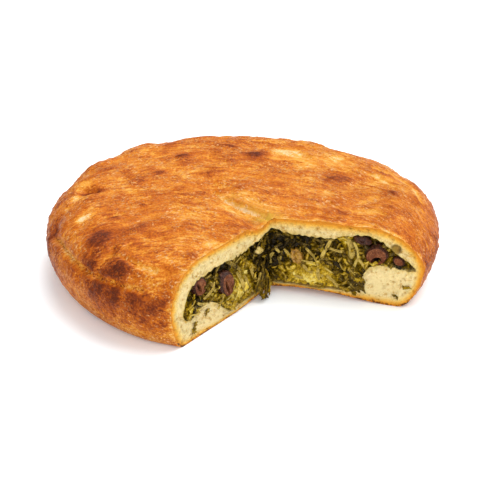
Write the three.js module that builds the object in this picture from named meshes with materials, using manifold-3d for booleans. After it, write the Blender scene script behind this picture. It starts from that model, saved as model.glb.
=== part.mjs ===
// An escarole pie: a round leavened pie, baked free on its flat base, filled with cooked escarole
// and black olives. A big slice has been cut out, so that the filling shows at both cuts.
// Millimetres, +Z up. The origin is the centre of the base's round outline, and the gap left by
// the missing slice opens towards -Y and +X.

import * as THREE from "three";
import { mergeVertices } from "three/addons/utils/BufferGeometryUtils.js";
import Module from "manifold-3d";

const wasm = await Module();
wasm.setup();

const degrees = THREE.MathUtils.degToRad;
const lerp = THREE.MathUtils.lerp;
const smoothstep = THREE.MathUtils.smoothstep;

// ---- Driving dimensions ------------------------------------------------------------------

const RADIUS = 140; // of the belly, where the side bulges furthest
const TOP_HEIGHT = 56; // away from the dips and welts of the top
const BELLY_HEIGHT = 29;
const BASE_INSET = 17; // from the belly in to the edge of the flat base
const SHOULDER = 36; // from the belly in to where the top lies flat
const SIDE_CURVE = 1.3; // exponent of the side, from its round foot up to the belly
const SHOULDER_RUN = 1.8; // exponents of the shoulder, from the belly up to the top
const SHOULDER_RISE = 1.7;
const OUTLINE_WAVES = [
  // turns round the outline, with the share of the radius in each cosine and sine
  { turns: 2, cosine: -0.001, sine: -0.008 },
  { turns: 3, cosine: 0.006, sine: 0.006 },
  { turns: 4, cosine: 0.001, sine: 0.006 },
  { turns: 5, cosine: -0.004, sine: 0.003 },
];

const TIP = new THREE.Vector2(19.7, -42.4); // where the two cuts meet
const RIGHT_CUT = degrees(-15.5);
const LEFT_CUT = degrees(233);
const HALF_GAP = (2 * Math.PI - (LEFT_CUT - RIGHT_CUT)) / 2;
const TUCK = 5.3; // how far the belly was pulled in by the knife at the left cut
const TUCK_SPREAD = degrees(14);

// The hollow that the filling lies in, as height against distance from the tip at each cut.
const HOLLOW = {
  right: {
    reach: 105.1,
    wall: 100,
    ceiling: [[0, 48], [16, 45], [40, 45], [56, 49], [70, 49.5], [78, 46], [87, 39], [100, 30.5]],
    floor: [[0, 7], [45, 7], [57, 9], [62, 18], [68, 27], [80, 28.5], [100, 27]],
  },
  left: {
    reach: 106.5,
    wall: 90,
    ceiling: [[0, 48], [14, 44], [40, 41.5], [55, 42.8], [72, 41.5], [82, 38], [90, 28]],
    floor: [
      [0, 7], [16, 5], [42, 4.5], [50, 9], [58, 17], [66, 20.5], [74, 20.5], [80, 16.5], [90, 16.5],
    ],
  },
};
const FILLING_GAP = 1.3; // between filling and dough, measured upwards
const LIFT = { out: 25, spread: 60, height: 5 }; // the underside arches up beside the right cut

// Folds of the crust: each runs from one point to another, sinks in (-) or swells out (+) by
// its depth, and fades over its width.
const FOLDS = [
  { name: "seam round the left side", from: [-131, -30, 40], to: [-105, -85, 39], width: 5, depth: -3 },
  { name: "seam near the left cut", from: [-105, -85, 39], to: [-78, -110, 39], width: 5, depth: -2.2 },
  { name: "seam over the left shoulder", from: [-114, -3, 55], to: [-131, -30, 40], width: 6, depth: -1.6 },
  { name: "branch of the seam", from: [-94, -97, 41], to: [-83, -87, 51], width: 5, depth: -2.4 },
  { name: "lobe above the seam", from: [-106, -72, 46], to: [-104, -76, 44], width: 11, depth: 2.6 },
  { name: "lobe beyond the branch", from: [-84, -99, 46], to: [-74, -104, 46], width: 11, depth: 2.6 },
  { name: "swelling of the left side", from: [-120, -62, 26], to: [-84, -106, 26], width: 12, depth: 1.6 },
  { name: "dark shoulder", from: [-126, -42, 46], to: [-116, -58, 47], width: 10, depth: 1.8 },
  { name: "hole in the left shoulder", from: [-113, 6, 55], to: [-106, 5, 56], width: 5, depth: -4 },
  { name: "welt beside the hole", from: [-118, 20, 54], to: [-96, 24, 56], width: 9, depth: 1.6 },
  { name: "valley down to the tip", from: [-22, 15, 56], to: [14, -56, 56], width: 11, depth: -4.6 },
  { name: "hump left of the valley", from: [-30, -42, 56], to: [-46, -66, 56], width: 26, depth: 1.2 },
  { name: "knob of the back left rim", from: [-113, 55, 52], to: [-108, 60, 52], width: 12, depth: 3 },
  { name: "knob of the back rim", from: [-84, 90, 52], to: [-78, 94, 52], width: 13, depth: 3 },
  { name: "welt of the right shoulder", from: [104, -26, 52], to: [124, 14, 50], width: 12, depth: 2 },
  { name: "crease of the right rim", from: [70, 98, 54], to: [118, 44, 51], width: 6, depth: -1.8 },
  { name: "blister of the right top", from: [60, 46, 56], to: [76, 38, 56], width: 16, depth: 1.2 },
];

// ---- Mesh and solid helpers --------------------------------------------------------------

function randomDraws(seed) {
  let state = seed;
  return () => {
    state = (state * 1664525 + 1013904223) >>> 0;
    return state / 4294967296;
  };
}

function solidOf(geometry) {
  const bare = geometry.clone();
  bare.deleteAttribute("normal");
  bare.deleteAttribute("uv");
  const merged = mergeVertices(bare, 1e-3);
  const corners = merged.index.array;
  const kept = [];
  for (let i = 0; i < corners.length; i += 3) {
    const [a, b, c] = [corners[i], corners[i + 1], corners[i + 2]];
    if (a !== b && b !== c && c !== a) kept.push(a, b, c);
  }
  return new wasm.Manifold(new wasm.Mesh({
    numProp: 3,
    vertProperties: merged.attributes.position.array,
    triVerts: Uint32Array.from(kept),
  }));
}

function geometryOf(solid) {
  const mesh = solid.getMesh();
  const geometry = new THREE.BufferGeometry();
  geometry.setAttribute("position", new THREE.Float32BufferAttribute(mesh.vertProperties, 3));
  geometry.setIndex([...mesh.triVerts]);
  geometry.computeVertexNormals();
  return geometry;
}

function largestPiece(solid) {
  return solid.decompose().reduce((a, b) => (a.volume() > b.volume() ? a : b));
}

// Closed surface over a lattice: rows of points, joined to the next row, wound so that the
// faces point out when the rows go round the body.
function pushGrid(corners, first, rows, perRow, flip) {
  for (let j = 0; j < rows - 1; j++) {
    for (let i = 0; i < perRow - 1; i++) {
      const a = first + j * perRow + i;
      const b = a + perRow;
      if (flip) corners.push(a, b + 1, b, a, a + 1, b + 1);
      else corners.push(a, b, b + 1, a, b + 1, a + 1);
    }
  }
}

function bareGeometry(points, corners) {
  const geometry = new THREE.BufferGeometry();
  const numbers = points.flatMap((p) => [p.x, p.y, p.z]);
  geometry.setAttribute("position", new THREE.Float32BufferAttribute(numbers, 3));
  geometry.setIndex(corners);
  return geometry;
}

// ---- Outer skin of the dough -------------------------------------------------------------

function outlineRadius(angle) {
  let share = 1;
  for (const wave of OUTLINE_WAVES) {
    share += wave.cosine * Math.cos(wave.turns * angle);
    share += wave.sine * Math.sin(wave.turns * angle);
  }
  return RADIUS * share;
}

function along(angle, distance, z = 0) {
  return new THREE.Vector3(
    TIP.x + Math.cos(angle) * distance,
    TIP.y + Math.sin(angle) * distance,
    z,
  );
}

const REACH_ROUNDS = 24; // each round brings the distance nearer to the outline

// How far the round outline lies from the tip of the cuts, in the direction of an angle.
function reach(angle) {
  let distance = RADIUS;
  for (let round = 0; round < REACH_ROUNDS; round++) {
    const p = along(angle, distance);
    distance += outlineRadius(Math.atan2(p.y, p.x)) - Math.hypot(p.x, p.y);
  }
  return distance;
}

function foldDepth(point) {
  let depth = 0;
  for (const fold of FOLDS) {
    const from = new THREE.Vector3(...fold.from);
    const line = new THREE.Line3(from, new THREE.Vector3(...fold.to));
    const near = line.closestPointToPoint(point, true, new THREE.Vector3());
    depth += fold.depth * Math.exp(-Math.pow(near.distanceTo(point) / fold.width, 2));
  }
  return depth;
}

function undersideLift(point) {
  const middle = along(RIGHT_CUT, LIFT.out);
  const share = Math.hypot(point.x - middle.x, point.y - middle.y) / LIFT.spread;
  return share < 1 ? LIFT.height * Math.pow(1 - share * share, 2) : 0;
}

// A point of the outer skin on the upright section at an angle. Stations run from the tip's
// foot out along the base (0 to 1), up to the belly (1 to 2), over the shoulder (2 to 3) and
// back to the tip along the top (3 to 4).
function skinPoint(angle, station) {
  const full = reach(angle);
  const tuck = TUCK * smoothstep(angle, LEFT_CUT - TUCK_SPREAD, LEFT_CUT);
  const base = full - BASE_INSET;
  const belly = full - tuck;
  const flat = full - SHOULDER;
  if (station <= 1) {
    const under = along(angle, base * station);
    under.z = undersideLift(under);
    return under;
  }
  if (station <= 2) {
    const share = station - 1;
    const distance = lerp(belly, base, Math.pow(1 - share, SIDE_CURVE));
    const side = along(angle, distance, BELLY_HEIGHT * share * share);
    return along(angle, distance + foldDepth(side) * smoothstep(share, 0.2, 0.7), side.z);
  }
  const turn = (Math.min(station, 3) - 2) * (Math.PI / 2);
  const inset = 1 - Math.cos(turn);
  const rise = Math.pow(1 - Math.pow(1 - inset, SHOULDER_RUN), 1 / SHOULDER_RISE);
  const distance = station <= 3 ? lerp(belly, flat, inset) : flat * (4 - station);
  const height = lerp(BELLY_HEIGHT, TOP_HEIGHT, Math.min(rise, 1));
  const depth = foldDepth(along(angle, distance, height));
  return along(angle, distance + depth * Math.cos(turn), height + depth * Math.sin(turn));
}

// ---- The hollow inside the dough ---------------------------------------------------------

// Height of a line of [distance, height] points, as a smooth curve through them.
function heightAlong(line, distance) {
  let k = 0;
  while (k < line.length - 2 && distance > line[k + 1][0]) k++;
  const slope = (i) => {
    const [before, after] = [line[Math.max(i - 1, 0)], line[Math.min(i + 1, line.length - 1)]];
    return (after[1] - before[1]) / (after[0] - before[0]);
  };
  const [x0, y0] = line[k];
  const [x1, y1] = line[k + 1];
  const run = x1 - x0;
  const t = THREE.MathUtils.clamp((distance - x0) / run, 0, 1);
  const bend = t * (1 - t);
  const straight = lerp(y0, y1, t);
  const rate = (y1 - y0) / run;
  return straight + bend * run * ((slope(k) - rate) * (1 - t) - (slope(k + 1) - rate) * t);
}

// Between the cuts the hollow changes smoothly from the right cut's section to the left's.
function hollowAt(angle, share) {
  const blend = smoothstep(angle, RIGHT_CUT, LEFT_CUT);
  const { right, left } = HOLLOW;
  const full = reach(angle);
  const wall = lerp(right.wall / right.reach, left.wall / left.reach, blend);
  const ceiling = lerp(
    heightAlong(right.ceiling, share * right.wall),
    heightAlong(left.ceiling, share * left.wall),
    blend,
  );
  const floor = lerp(
    heightAlong(right.floor, share * right.wall),
    heightAlong(left.floor, share * left.wall),
    blend,
  );
  return { distance: full * wall * share, floor, ceiling };
}

const HOLLOW_SECTIONS = 20;
const HOLLOW_COLUMNS = 12;
const SKIN_SECTIONS = 56;
const BEHIND_CUT = 0.012; // of the way round
const SKIN_ROWS = [[0, 1, 5], [1, 2, 4], [2, 3, 6], [3, 4, 9]]; // from station, to station, steps

function skinStations() {
  const stations = [0];
  for (const [from, to, steps] of SKIN_ROWS) {
    for (let i = 1; i <= steps; i++) stations.push(lerp(from, to, i / steps));
  }
  return stations;
}

// Sections go round from the right cut to the left, with one close behind each cut so that
// what lies there keeps the cut's own shape.
function sectionAngle(section, count) {
  let share = (section - 1) / (count - 2);
  share = lerp(BEHIND_CUT, 1 - BEHIND_CUT, share);
  if (section === 0) share = 0;
  if (section === count) share = 1;
  return lerp(RIGHT_CUT, LEFT_CUT, share);
}

// The hollow's section as one open line: out along the floor and back along the ceiling.
function hollowLine(angle, inset) {
  const line = [];
  for (let k = 0; k <= HOLLOW_COLUMNS; k++) {
    const { distance, floor } = hollowAt(angle, k / HOLLOW_COLUMNS);
    const short = k === HOLLOW_COLUMNS ? inset : 0;
    line.push(along(angle, distance - short, floor + inset));
  }
  for (let k = HOLLOW_COLUMNS; k >= 0; k--) {
    const { distance, ceiling } = hollowAt(angle, k / HOLLOW_COLUMNS);
    const short = k === HOLLOW_COLUMNS ? inset : 0;
    line.push(along(angle, distance - short, ceiling - inset));
  }
  return line;
}

function doughSolid() {
  const stations = skinStations();
  const points = [];
  const corners = [];
  for (let j = 0; j <= SKIN_SECTIONS; j++) {
    const angle = sectionAngle(j, SKIN_SECTIONS);
    for (const station of stations) points.push(skinPoint(angle, station));
  }
  pushGrid(corners, 0, SKIN_SECTIONS + 1, stations.length, false);
  const inner = points.length;
  const perLine = 2 * (HOLLOW_COLUMNS + 1);
  for (let j = 0; j <= HOLLOW_SECTIONS; j++) {
    points.push(...hollowLine(sectionAngle(j, HOLLOW_SECTIONS), 0));
  }
  pushGrid(corners, inner, HOLLOW_SECTIONS + 1, perLine, true);
  pushCutFace(corners, points, 0, stations.length, inner, perLine, RIGHT_CUT, true);
  const lastSkin = SKIN_SECTIONS * stations.length;
  const lastHollow = inner + HOLLOW_SECTIONS * perLine;
  pushCutFace(corners, points, lastSkin, stations.length, lastHollow, perLine, LEFT_CUT, false);
  return solidOf(bareGeometry(points, corners));
}

// The flat face that the knife left, between the skin's line and the hollow's.
function pushCutFace(corners, points, skin, skinCount, hollow, hollowCount, angle, flip) {
  const ring = [];
  for (let i = 0; i < skinCount; i++) ring.push(skin + i);
  for (let i = hollowCount - 1; i >= 0; i--) ring.push(hollow + i);
  const flat = ring.map((i) => {
    const p = points[i];
    const distance = (p.x - TIP.x) * Math.cos(angle) + (p.y - TIP.y) * Math.sin(angle);
    return new THREE.Vector2(distance, p.z);
  });
  for (const [a, b, c] of THREE.ShapeUtils.triangulateShape(flat, [])) {
    if (flip) corners.push(ring[a], ring[b], ring[c]);
    else corners.push(ring[a], ring[c], ring[b]);
  }
}

// ---- Knife and faces of the cuts ---------------------------------------------------------

// A point in front of a cut: a distance from the tip, a height, and how far it stands out.
function cutPoint(side, distance, z, out) {
  const angle = side === "right" ? RIGHT_CUT : LEFT_CUT;
  const turn = side === "right" ? -1 : 1;
  return new THREE.Vector3(
    TIP.x + Math.cos(angle) * distance - turn * Math.sin(angle) * out,
    TIP.y + Math.sin(angle) * distance + turn * Math.cos(angle) * out,
    z,
  );
}

const CORE_SINK = 3; // how far the filling lies behind the cuts
const CORE_BUMP = 1.2; // and how uneven it is there
const WEDGE = { reach: 130, steps: 12, bottom: -6, top: 66, levels: 7 };
const BUMPS = [
  // waves across a cut, in radians for each millimetre out from the tip and up
  { out: 0.31, up: 0.17 },
  { out: -0.11, up: 0.29 },
];

// The filling sinks back behind the cuts by an uneven depth, so its faces are cut by a wedge
// with bumpy sides.
function bumpyWedge() {
  const { reach: far, steps, levels } = WEDGE;
  const path = [];
  for (let k = steps; k > 0; k--) path.push({ side: "left", distance: (far * k) / steps });
  path.push({ side: "left", distance: 0, tip: true });
  for (let k = 1; k <= steps; k++) path.push({ side: "right", distance: (far * k) / steps });
  const points = [];
  for (let m = 0; m <= levels; m++) {
    const z = lerp(WEDGE.bottom, WEDGE.top, m / levels);
    for (const { side, distance, tip } of path) {
      const waves = BUMPS.map((wave) => Math.sin(wave.out * distance + wave.up * z));
      const depth = CORE_SINK + CORE_BUMP * waves[0] * waves[1];
      if (tip) points.push(along(RIGHT_CUT - HALF_GAP, -depth / Math.sin(HALF_GAP), z));
      else points.push(cutPoint(side, distance, z, -depth));
    }
  }
  const corners = [];
  const perLevel = path.length;
  for (let m = 0; m < levels; m++) {
    for (let i = 0; i < perLevel; i++) {
      const a = m * perLevel + i;
      const b = m * perLevel + ((i + 1) % perLevel);
      corners.push(a, b + perLevel, b, a, a + perLevel, b + perLevel);
    }
  }
  const outline = points.slice(0, perLevel).map((p) => new THREE.Vector2(p.x, p.y));
  const top = levels * perLevel;
  for (const [a, b, c] of THREE.ShapeUtils.triangulateShape(outline, [])) {
    corners.push(a, c, b);
    corners.push(top + a, top + b, top + c);
  }
  return solidOf(bareGeometry(points, corners));
}

// ---- Filling -----------------------------------------------------------------------------

const AT_TIP = 1e-6; // nearer to the tip than this, a point lies on both cuts

// All that the filling may take up: the hollow less its gap, running out past both cuts.
function fillingRoom(out) {
  const points = [];
  const corners = [];
  const perLine = 2 * (HOLLOW_COLUMNS + 1) + 1;
  for (let j = 0; j <= HOLLOW_SECTIONS; j++) {
    const line = hollowLine(sectionAngle(j, HOLLOW_SECTIONS), FILLING_GAP);
    line.push(line[0].clone());
    for (const p of line) {
      const distance = Math.hypot(p.x - TIP.x, p.y - TIP.y);
      const side = { 0: "right", [HOLLOW_SECTIONS]: "left" }[j];
      if (distance < AT_TIP) {
        points.push(along(RIGHT_CUT - HALF_GAP, out / Math.sin(HALF_GAP), p.z));
      } else if (side) {
        points.push(cutPoint(side, distance, p.z, out));
      } else {
        points.push(p);
      }
    }
  }
  pushGrid(corners, 0, HOLLOW_SECTIONS + 1, perLine, false);
  const count = perLine - 1;
  const ends = [
    { first: 0, angle: RIGHT_CUT, flip: true },
    { first: HOLLOW_SECTIONS * perLine, angle: LEFT_CUT, flip: false },
  ];
  for (const { first, angle, flip } of ends) {
    const flat = points.slice(first, first + count).map((p) => {
      const distance = (p.x - TIP.x) * Math.cos(angle) + (p.y - TIP.y) * Math.sin(angle);
      return new THREE.Vector2(distance, p.z);
    });
    for (const [a, b, c] of THREE.ShapeUtils.triangulateShape(flat, [])) {
      if (flip) corners.push(first + a, first + b, first + c);
      else corners.push(first + a, first + c, first + b);
    }
  }
  return solidOf(bareGeometry(points, corners));
}

const SHRED_STEPS = { along: 5, across: 2 };
const SHRED_ENDS = 0.35; // of its width that a shred loses towards each end
const SHRED_WAVES = { margin: 9, length: 5, cross: 6, slant: 4 }; // radians over its size
const SHRED_MARGIN = 0.12;
const SHRED_CUPPING = 0.16;

// A limp shred of leaf: a thin strip that bends along its length, the same on both faces.
function shred(length, width, thick, bend, twist, phase) {
  const box = new THREE.BoxGeometry(length, width, thick, SHRED_STEPS.along, SHRED_STEPS.across, 1);
  const spots = box.attributes.position;
  const waves = SHRED_WAVES;
  for (let i = 0; i < spots.count; i++) {
    const u = spots.getX(i) / length;
    const v = spots.getY(i) / width;
    const narrow = 1 - SHRED_ENDS * 4 * u * u + SHRED_MARGIN * Math.sin(waves.margin * u + phase);
    const cupping = SHRED_CUPPING * width * Math.cos(waves.cross * v + waves.slant * u + phase);
    const ripple = bend * Math.cos(waves.length * u + phase) + cupping;
    const turn = twist * u;
    const y = v * width * narrow;
    const z = spots.getZ(i);
    spots.setXYZ(
      i,
      u * length,
      y * Math.cos(turn) - z * Math.sin(turn),
      y * Math.sin(turn) + z * Math.cos(turn) + ripple,
    );
  }
  return box;
}

const STEM_TAPER = { thin: 0.36, thick: 0.5 }; // radius at each end, as a share of its thickness
const STEM_SIDES = 6;
const STEM_STEPS = 3;

// A stem: a stalk, thicker at one end.
function stem(length, thick, bend) {
  const { thin, thick: wide } = STEM_TAPER;
  const stalk = new THREE.CylinderGeometry(thick * thin, thick * wide, length, STEM_SIDES, STEM_STEPS);
  const spots = stalk.attributes.position;
  for (let i = 0; i < spots.count; i++) {
    const v = spots.getY(i) / length;
    spots.setX(i, spots.getX(i) + bend * (1 - 4 * v * v));
  }
  return stalk.rotateZ(-Math.PI / 2);
}

// Places a piece at a cut: its length lies in the cut's plane at a slope, tipped out of it.
function placeAtCut(geometry, side, distance, z, out, slope, tip, roll) {
  const angle = side === "right" ? RIGHT_CUT : LEFT_CUT;
  const turn = new THREE.Matrix4().makeRotationX(Math.PI / 2);
  turn.premultiply(new THREE.Matrix4().makeRotationX(roll));
  turn.premultiply(new THREE.Matrix4().makeRotationZ(tip));
  turn.premultiply(new THREE.Matrix4().makeRotationY(-slope));
  turn.premultiply(new THREE.Matrix4().makeRotationZ(angle));
  turn.setPosition(cutPoint(side, distance, z, out));
  return geometry.clone().applyMatrix4(turn);
}

const SHREDS_PER_CUT = 12;
const SHRED_THICK = 1.1;
const SHRED_RANGES = {
  jitter: [0.2, 0.8], // of the space from one to the next
  length: [13, 22],
  width: [5, 9],
  bend: [0.6, 1.8],
  twist: [-1, 1],
  phase: [0, 6],
  slope: [-1.5, 1.5],
  out: [-3, -1.4],
  tip: [-0.3, 0.3],
  roll: [-0.5, 0.5],
};
const SHREDS_FROM = 2; // millimetres from the tip
const SHREDS_TO = 0.92; // of the way to the hollow's wall
const SHRED_MARGINS = 4; // between a shred's middle and the floor or ceiling
const GOLDEN = 0.618; // heights step by this share, so that neighbours lie apart

function shredsAndStems() {
  const draw = randomDraws(41);
  const between = (name) => lerp(...SHRED_RANGES[name], draw());
  const pieces = [];
  for (const side of ["left", "right"]) {
    const section = HOLLOW[side];
    for (let n = 0; n < SHREDS_PER_CUT; n++) {
      const share = (n + between("jitter")) / SHREDS_PER_CUT;
      const distance = SHREDS_FROM + section.wall * share * SHREDS_TO;
      const low = heightAlong(section.floor, distance) + SHRED_MARGINS;
      const high = heightAlong(section.ceiling, distance) - SHRED_MARGINS;
      const z = lerp(low, Math.max(high, low), (n * GOLDEN) % 1);
      const size = [between("length"), between("width"), SHRED_THICK];
      const leaf = shred(...size, between("bend"), between("twist"), between("phase"));
      const lie = [between("out"), between("slope"), between("tip"), between("roll")];
      pieces.push(placeAtCut(leaf, side, distance, z, ...lie));
    }
  }
  for (const s of STEMS) {
    const stalk = stem(s.length, s.thick, s.bend);
    pieces.push(placeAtCut(stalk, s.side, s.distance, s.z, s.out, degrees(s.slope), 0, 0));
  }
  return pieces.map(solidOf);
}

// The stems that show, by where the middle of each lies at its cut.
const STEMS = [
  { side: "left", distance: 38, z: 36, length: 14, thick: 3, bend: 0.8, slope: -20, out: -1.2 },
  { side: "left", distance: 26, z: 30, length: 13, thick: 3.4, bend: 1, slope: 70, out: -1.4 },
  { side: "left", distance: 33, z: 21, length: 15, thick: 4, bend: 1.2, slope: 55, out: -1.6 },
  { side: "right", distance: 39, z: 37, length: 16, thick: 3, bend: 0.5, slope: 62, out: -1.2 },
  { side: "right", distance: 50, z: 40, length: 15, thick: 6, bend: 1.4, slope: -60, out: -2 },
  { side: "right", distance: 35, z: 17, length: 16, thick: 3.4, bend: 1, slope: -68, out: -1.4 },
  { side: "right", distance: 14, z: 25, length: 14, thick: 3, bend: 0.8, slope: 75, out: -1.2 },
];

// Escarole that has slipped out over the lip of the bottom crust at the tip, and hangs down to
// the table. Each shred runs from one point to another: how far it stands out of the tip, how
// far it lies to the right of it, and its height.
const SPILL = [
  { from: [-6, 0, 18], to: [4, -0.5, 11.5], width: 7, roll: 0.2 },
  { from: [3.6, -2.2, 13], to: [6, -1.6, 3.6], width: 5, roll: 0.5 },
  { from: [3.4, 1.2, 13], to: [7, 2, 3.2], width: 6, roll: -0.4 },
];

function tipPoint([out, right, z]) {
  const ahead = RIGHT_CUT - HALF_GAP;
  const point = along(ahead, out, z);
  point.x -= Math.sin(ahead) * right;
  point.y += Math.cos(ahead) * right;
  return point;
}

const SPILLED = { longer: 3, thick: 1.3, bend: 0.8, twist: 0.4 };

function spilledShreds() {
  return SPILL.map((s, n) => {
    const [from, to] = [tipPoint(s.from), tipPoint(s.to)];
    const length = from.distanceTo(to) + SPILLED.longer;
    const leaf = shred(length, s.width, SPILLED.thick, SPILLED.bend, SPILLED.twist, n * 2);
    leaf.rotateX(s.roll);
    const run = to.clone().sub(from).normalize();
    const turn = new THREE.Quaternion().setFromUnitVectors(new THREE.Vector3(1, 0, 0), run);
    leaf.applyQuaternion(turn);
    const middle = from.add(to).multiplyScalar(0.5);
    return solidOf(leaf.translate(middle.x, middle.y, middle.z));
  });
}

// ---- Olives, raisin and pine nut ---------------------------------------------------------

const POCKET_GAP = 0.4;

// Each topping by where its middle lies at its cut, its two sizes, and how its length slopes.
// cut: how far the knife's flat face stands out of the plane of the cut; pit: the stone's hole,
// and how far it lies along and up from the middle.
const TOPPINGS = [
  {
    name: "olive_left_outer", kind: "olive", side: "left", distance: 76.6, z: 35.3, out: -3.2,
    long: 15, wide: 12.5, slope: 62, tip: 0, cut: 0.3,
    pit: { long: 8.5, wide: 3.6, along: 0, up: -0.6 },
  },
  {
    name: "olive_left_inner", kind: "olive", side: "left", distance: 49.6, z: 26.2, out: -2.8,
    long: 21, wide: 14.5, slope: 70, tip: -0.3, cut: 1.6,
    pit: { long: 11, wide: 3.6, along: -1.6, up: -1.2 },
  },
  {
    name: "olive_right", kind: "olive", side: "right", distance: 72.8, z: 36.4, out: -2.6,
    long: 16.5, wide: 14.5, slope: 25, tip: 0.2, cut: 1.4,
    pit: { long: 7.4, wide: 5, along: -1.2, up: -2.8 },
  },
  {
    name: "olive_right_upper", kind: "olive", side: "right", distance: 62.6, z: 45.9, out: -2,
    long: 13, wide: 6.6, slope: -12, tip: 0, cut: 1.2,
  },
  {
    name: "olive_right_small", kind: "olive", side: "right", distance: 87.4, z: 33.6, out: -2,
    long: 9, wide: 6.6, slope: -25, tip: 0, cut: 0.2,
  },
  {
    name: "raisin_right", kind: "raisin", side: "right", distance: 17.9, z: 28.3, out: -1.4,
    long: 11.5, wide: 8.4, slope: -60, tip: 0, cut: 4,
  },
  {
    name: "pine_nut_left", kind: "pine nut", side: "left", distance: 13.3, z: 35.8, out: -0.8,
    long: 8, wide: 5.4, slope: 20, tip: 0.2, cut: 3,
  },
];

const TOPPING_FINISH = {
  olive: { color: "#4a2522", roughness: 0.35 },
  raisin: { color: "#8a6a2c", roughness: 0.6 },
  "pine nut": { color: "#d8c98a", roughness: 0.6 },
};

const BALL_SIDES = 12;
const BALL_RINGS = 8;
const WRINKLES = { olive: 0.02, raisin: 0.07, "pine nut": 0.02 }; // depth, of its size
const WRINKLE_TURNS = { x: 11, y: 7, z: 9, slant: 4, length: 8 }; // radians over its size
const NUT_POINT = 0.25; // how much narrower a pine nut is at one end
const STONE_SIDES = 8;
const STONE_RINGS = 6;
const STONE_DEPTH = 0.9; // of the olive's width
const STONE_OUT = 0.35; // of the width, from the olive's middle out to the stone's

function toppingShape(topping, extra) {
  const ball = new THREE.SphereGeometry(0.5, BALL_SIDES, BALL_RINGS);
  const spots = ball.attributes.position;
  const wrinkle = WRINKLES[topping.kind];
  const turns = WRINKLE_TURNS;
  for (let i = 0; i < spots.count; i++) {
    const p = new THREE.Vector3().fromBufferAttribute(spots, i);
    const narrow = topping.kind === "pine nut" ? NUT_POINT * p.y : 0;
    const ripple = Math.sin(turns.x * p.x + turns.y * p.y) * Math.cos(turns.z * p.z + turns.slant * p.y);
    const across = 1 + wrinkle * ripple - narrow;
    const lengthwise = 1 + wrinkle * Math.sin(turns.length * p.x);
    spots.setXYZ(i, p.x * across, p.y * lengthwise, p.z * across);
  }
  ball.rotateZ(-Math.PI / 2);
  return ball.scale(topping.long + extra, topping.wide + extra, topping.wide + extra);
}

function toppingSolid(topping, extra) {
  const { side, distance, z, out, slope, tip, wide, pit } = topping;
  const place = (shape) => placeAtCut(shape, side, distance, z, out, degrees(slope), tip, 0);
  let solid = solidOf(place(toppingShape(topping, extra)));
  if (extra === 0 && pit) {
    const outwards = side === "right" ? 1 : -1;
    const stone = new THREE.SphereGeometry(0.5, STONE_SIDES, STONE_RINGS);
    stone.scale(pit.long, pit.wide, wide * STONE_DEPTH);
    stone.translate(pit.along, pit.up, outwards * wide * STONE_OUT);
    solid = solid.subtract(solidOf(place(stone)));
  }
  const inward = cutPoint(side, 0, 0, 0).sub(cutPoint(side, 0, 0, 1));
  const knife = cutPoint(side, 0, 0, topping.cut + extra);
  return solid.trimByPlane([inward.x, inward.y, inward.z], knife.dot(inward));
}

// ---- The pie -----------------------------------------------------------------------------

const AIR_HOLE = { side: "right", distance: 85.4, z: 42.7, across: 7, sides: 10, rings: 8 };

function airHole() {
  const ball = new THREE.SphereGeometry(AIR_HOLE.across / 2, AIR_HOLE.sides, AIR_HOLE.rings);
  const middle = cutPoint(AIR_HOLE.side, AIR_HOLE.distance, AIR_HOLE.z, 0);
  return solidOf(ball.translate(middle.x, middle.y, middle.z));
}

function named(name, solid, finish) {
  const mesh = new THREE.Mesh(geometryOf(solid), new THREE.MeshStandardMaterial(finish));
  mesh.name = name;
  return mesh;
}

const SHRED_OUT = 3.5; // how far shreds may hang out of a cut
const SMALLEST_EDGE = 0.35; // finer edges than this are merged away where shreds cross

const pie = new THREE.Group();
const pockets = TOPPINGS.map((topping) => toppingSolid(topping, 2 * POCKET_GAP));

let dough = doughSolid().subtract(airHole());
const room = fillingRoom(SHRED_OUT);
let filling = room.subtract(bumpyWedge());
for (const piece of shredsAndStems()) filling = filling.add(piece.intersect(room));
for (const piece of spilledShreds()) filling = filling.add(piece);
filling = filling.simplify(SMALLEST_EDGE);
for (const pocket of pockets) {
  dough = dough.subtract(pocket);
  filling = filling.subtract(pocket);
}
pie.add(named("dough", largestPiece(dough), { color: "#c8742a", roughness: 0.55 }));
pie.add(named("filling", largestPiece(filling), { color: "#4d5418", roughness: 0.4 }));
for (const topping of TOPPINGS) {
  pie.add(named(topping.name, toppingSolid(topping, 0), TOPPING_FINISH[topping.kind]));
}

export default pie;
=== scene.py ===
import math
import bmesh
import bpy
import numpy as np
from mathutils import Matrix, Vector


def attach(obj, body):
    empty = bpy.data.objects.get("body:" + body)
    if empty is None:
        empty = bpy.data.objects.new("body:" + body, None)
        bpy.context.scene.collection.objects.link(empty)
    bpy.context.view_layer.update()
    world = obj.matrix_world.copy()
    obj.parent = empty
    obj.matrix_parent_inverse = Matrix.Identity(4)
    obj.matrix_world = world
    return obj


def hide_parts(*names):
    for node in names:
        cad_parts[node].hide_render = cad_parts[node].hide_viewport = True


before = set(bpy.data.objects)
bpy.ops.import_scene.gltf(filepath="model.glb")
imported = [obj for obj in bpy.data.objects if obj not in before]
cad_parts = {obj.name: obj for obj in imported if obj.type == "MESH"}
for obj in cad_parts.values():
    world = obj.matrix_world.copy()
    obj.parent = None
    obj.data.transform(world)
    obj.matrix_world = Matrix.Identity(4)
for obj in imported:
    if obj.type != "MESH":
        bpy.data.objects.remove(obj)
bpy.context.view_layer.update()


# ---- Camera ------------------------------------------------------------------------------
# The pie is seen from the side of its missing slice, from a little above the table, as
# someone sees it who has just put it down.

MM = 0.001
VIEW_HEIGHT = math.radians(25.91)
VIEW_DISTANCE = 850 * MM
VIEW_TARGET = (-1.53 * MM, 0, 18.05 * MM)
SENSOR = 36
LENS = SENSOR * 1.3865 * 850 / 480  # for a picture 480 pixels wide

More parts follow.
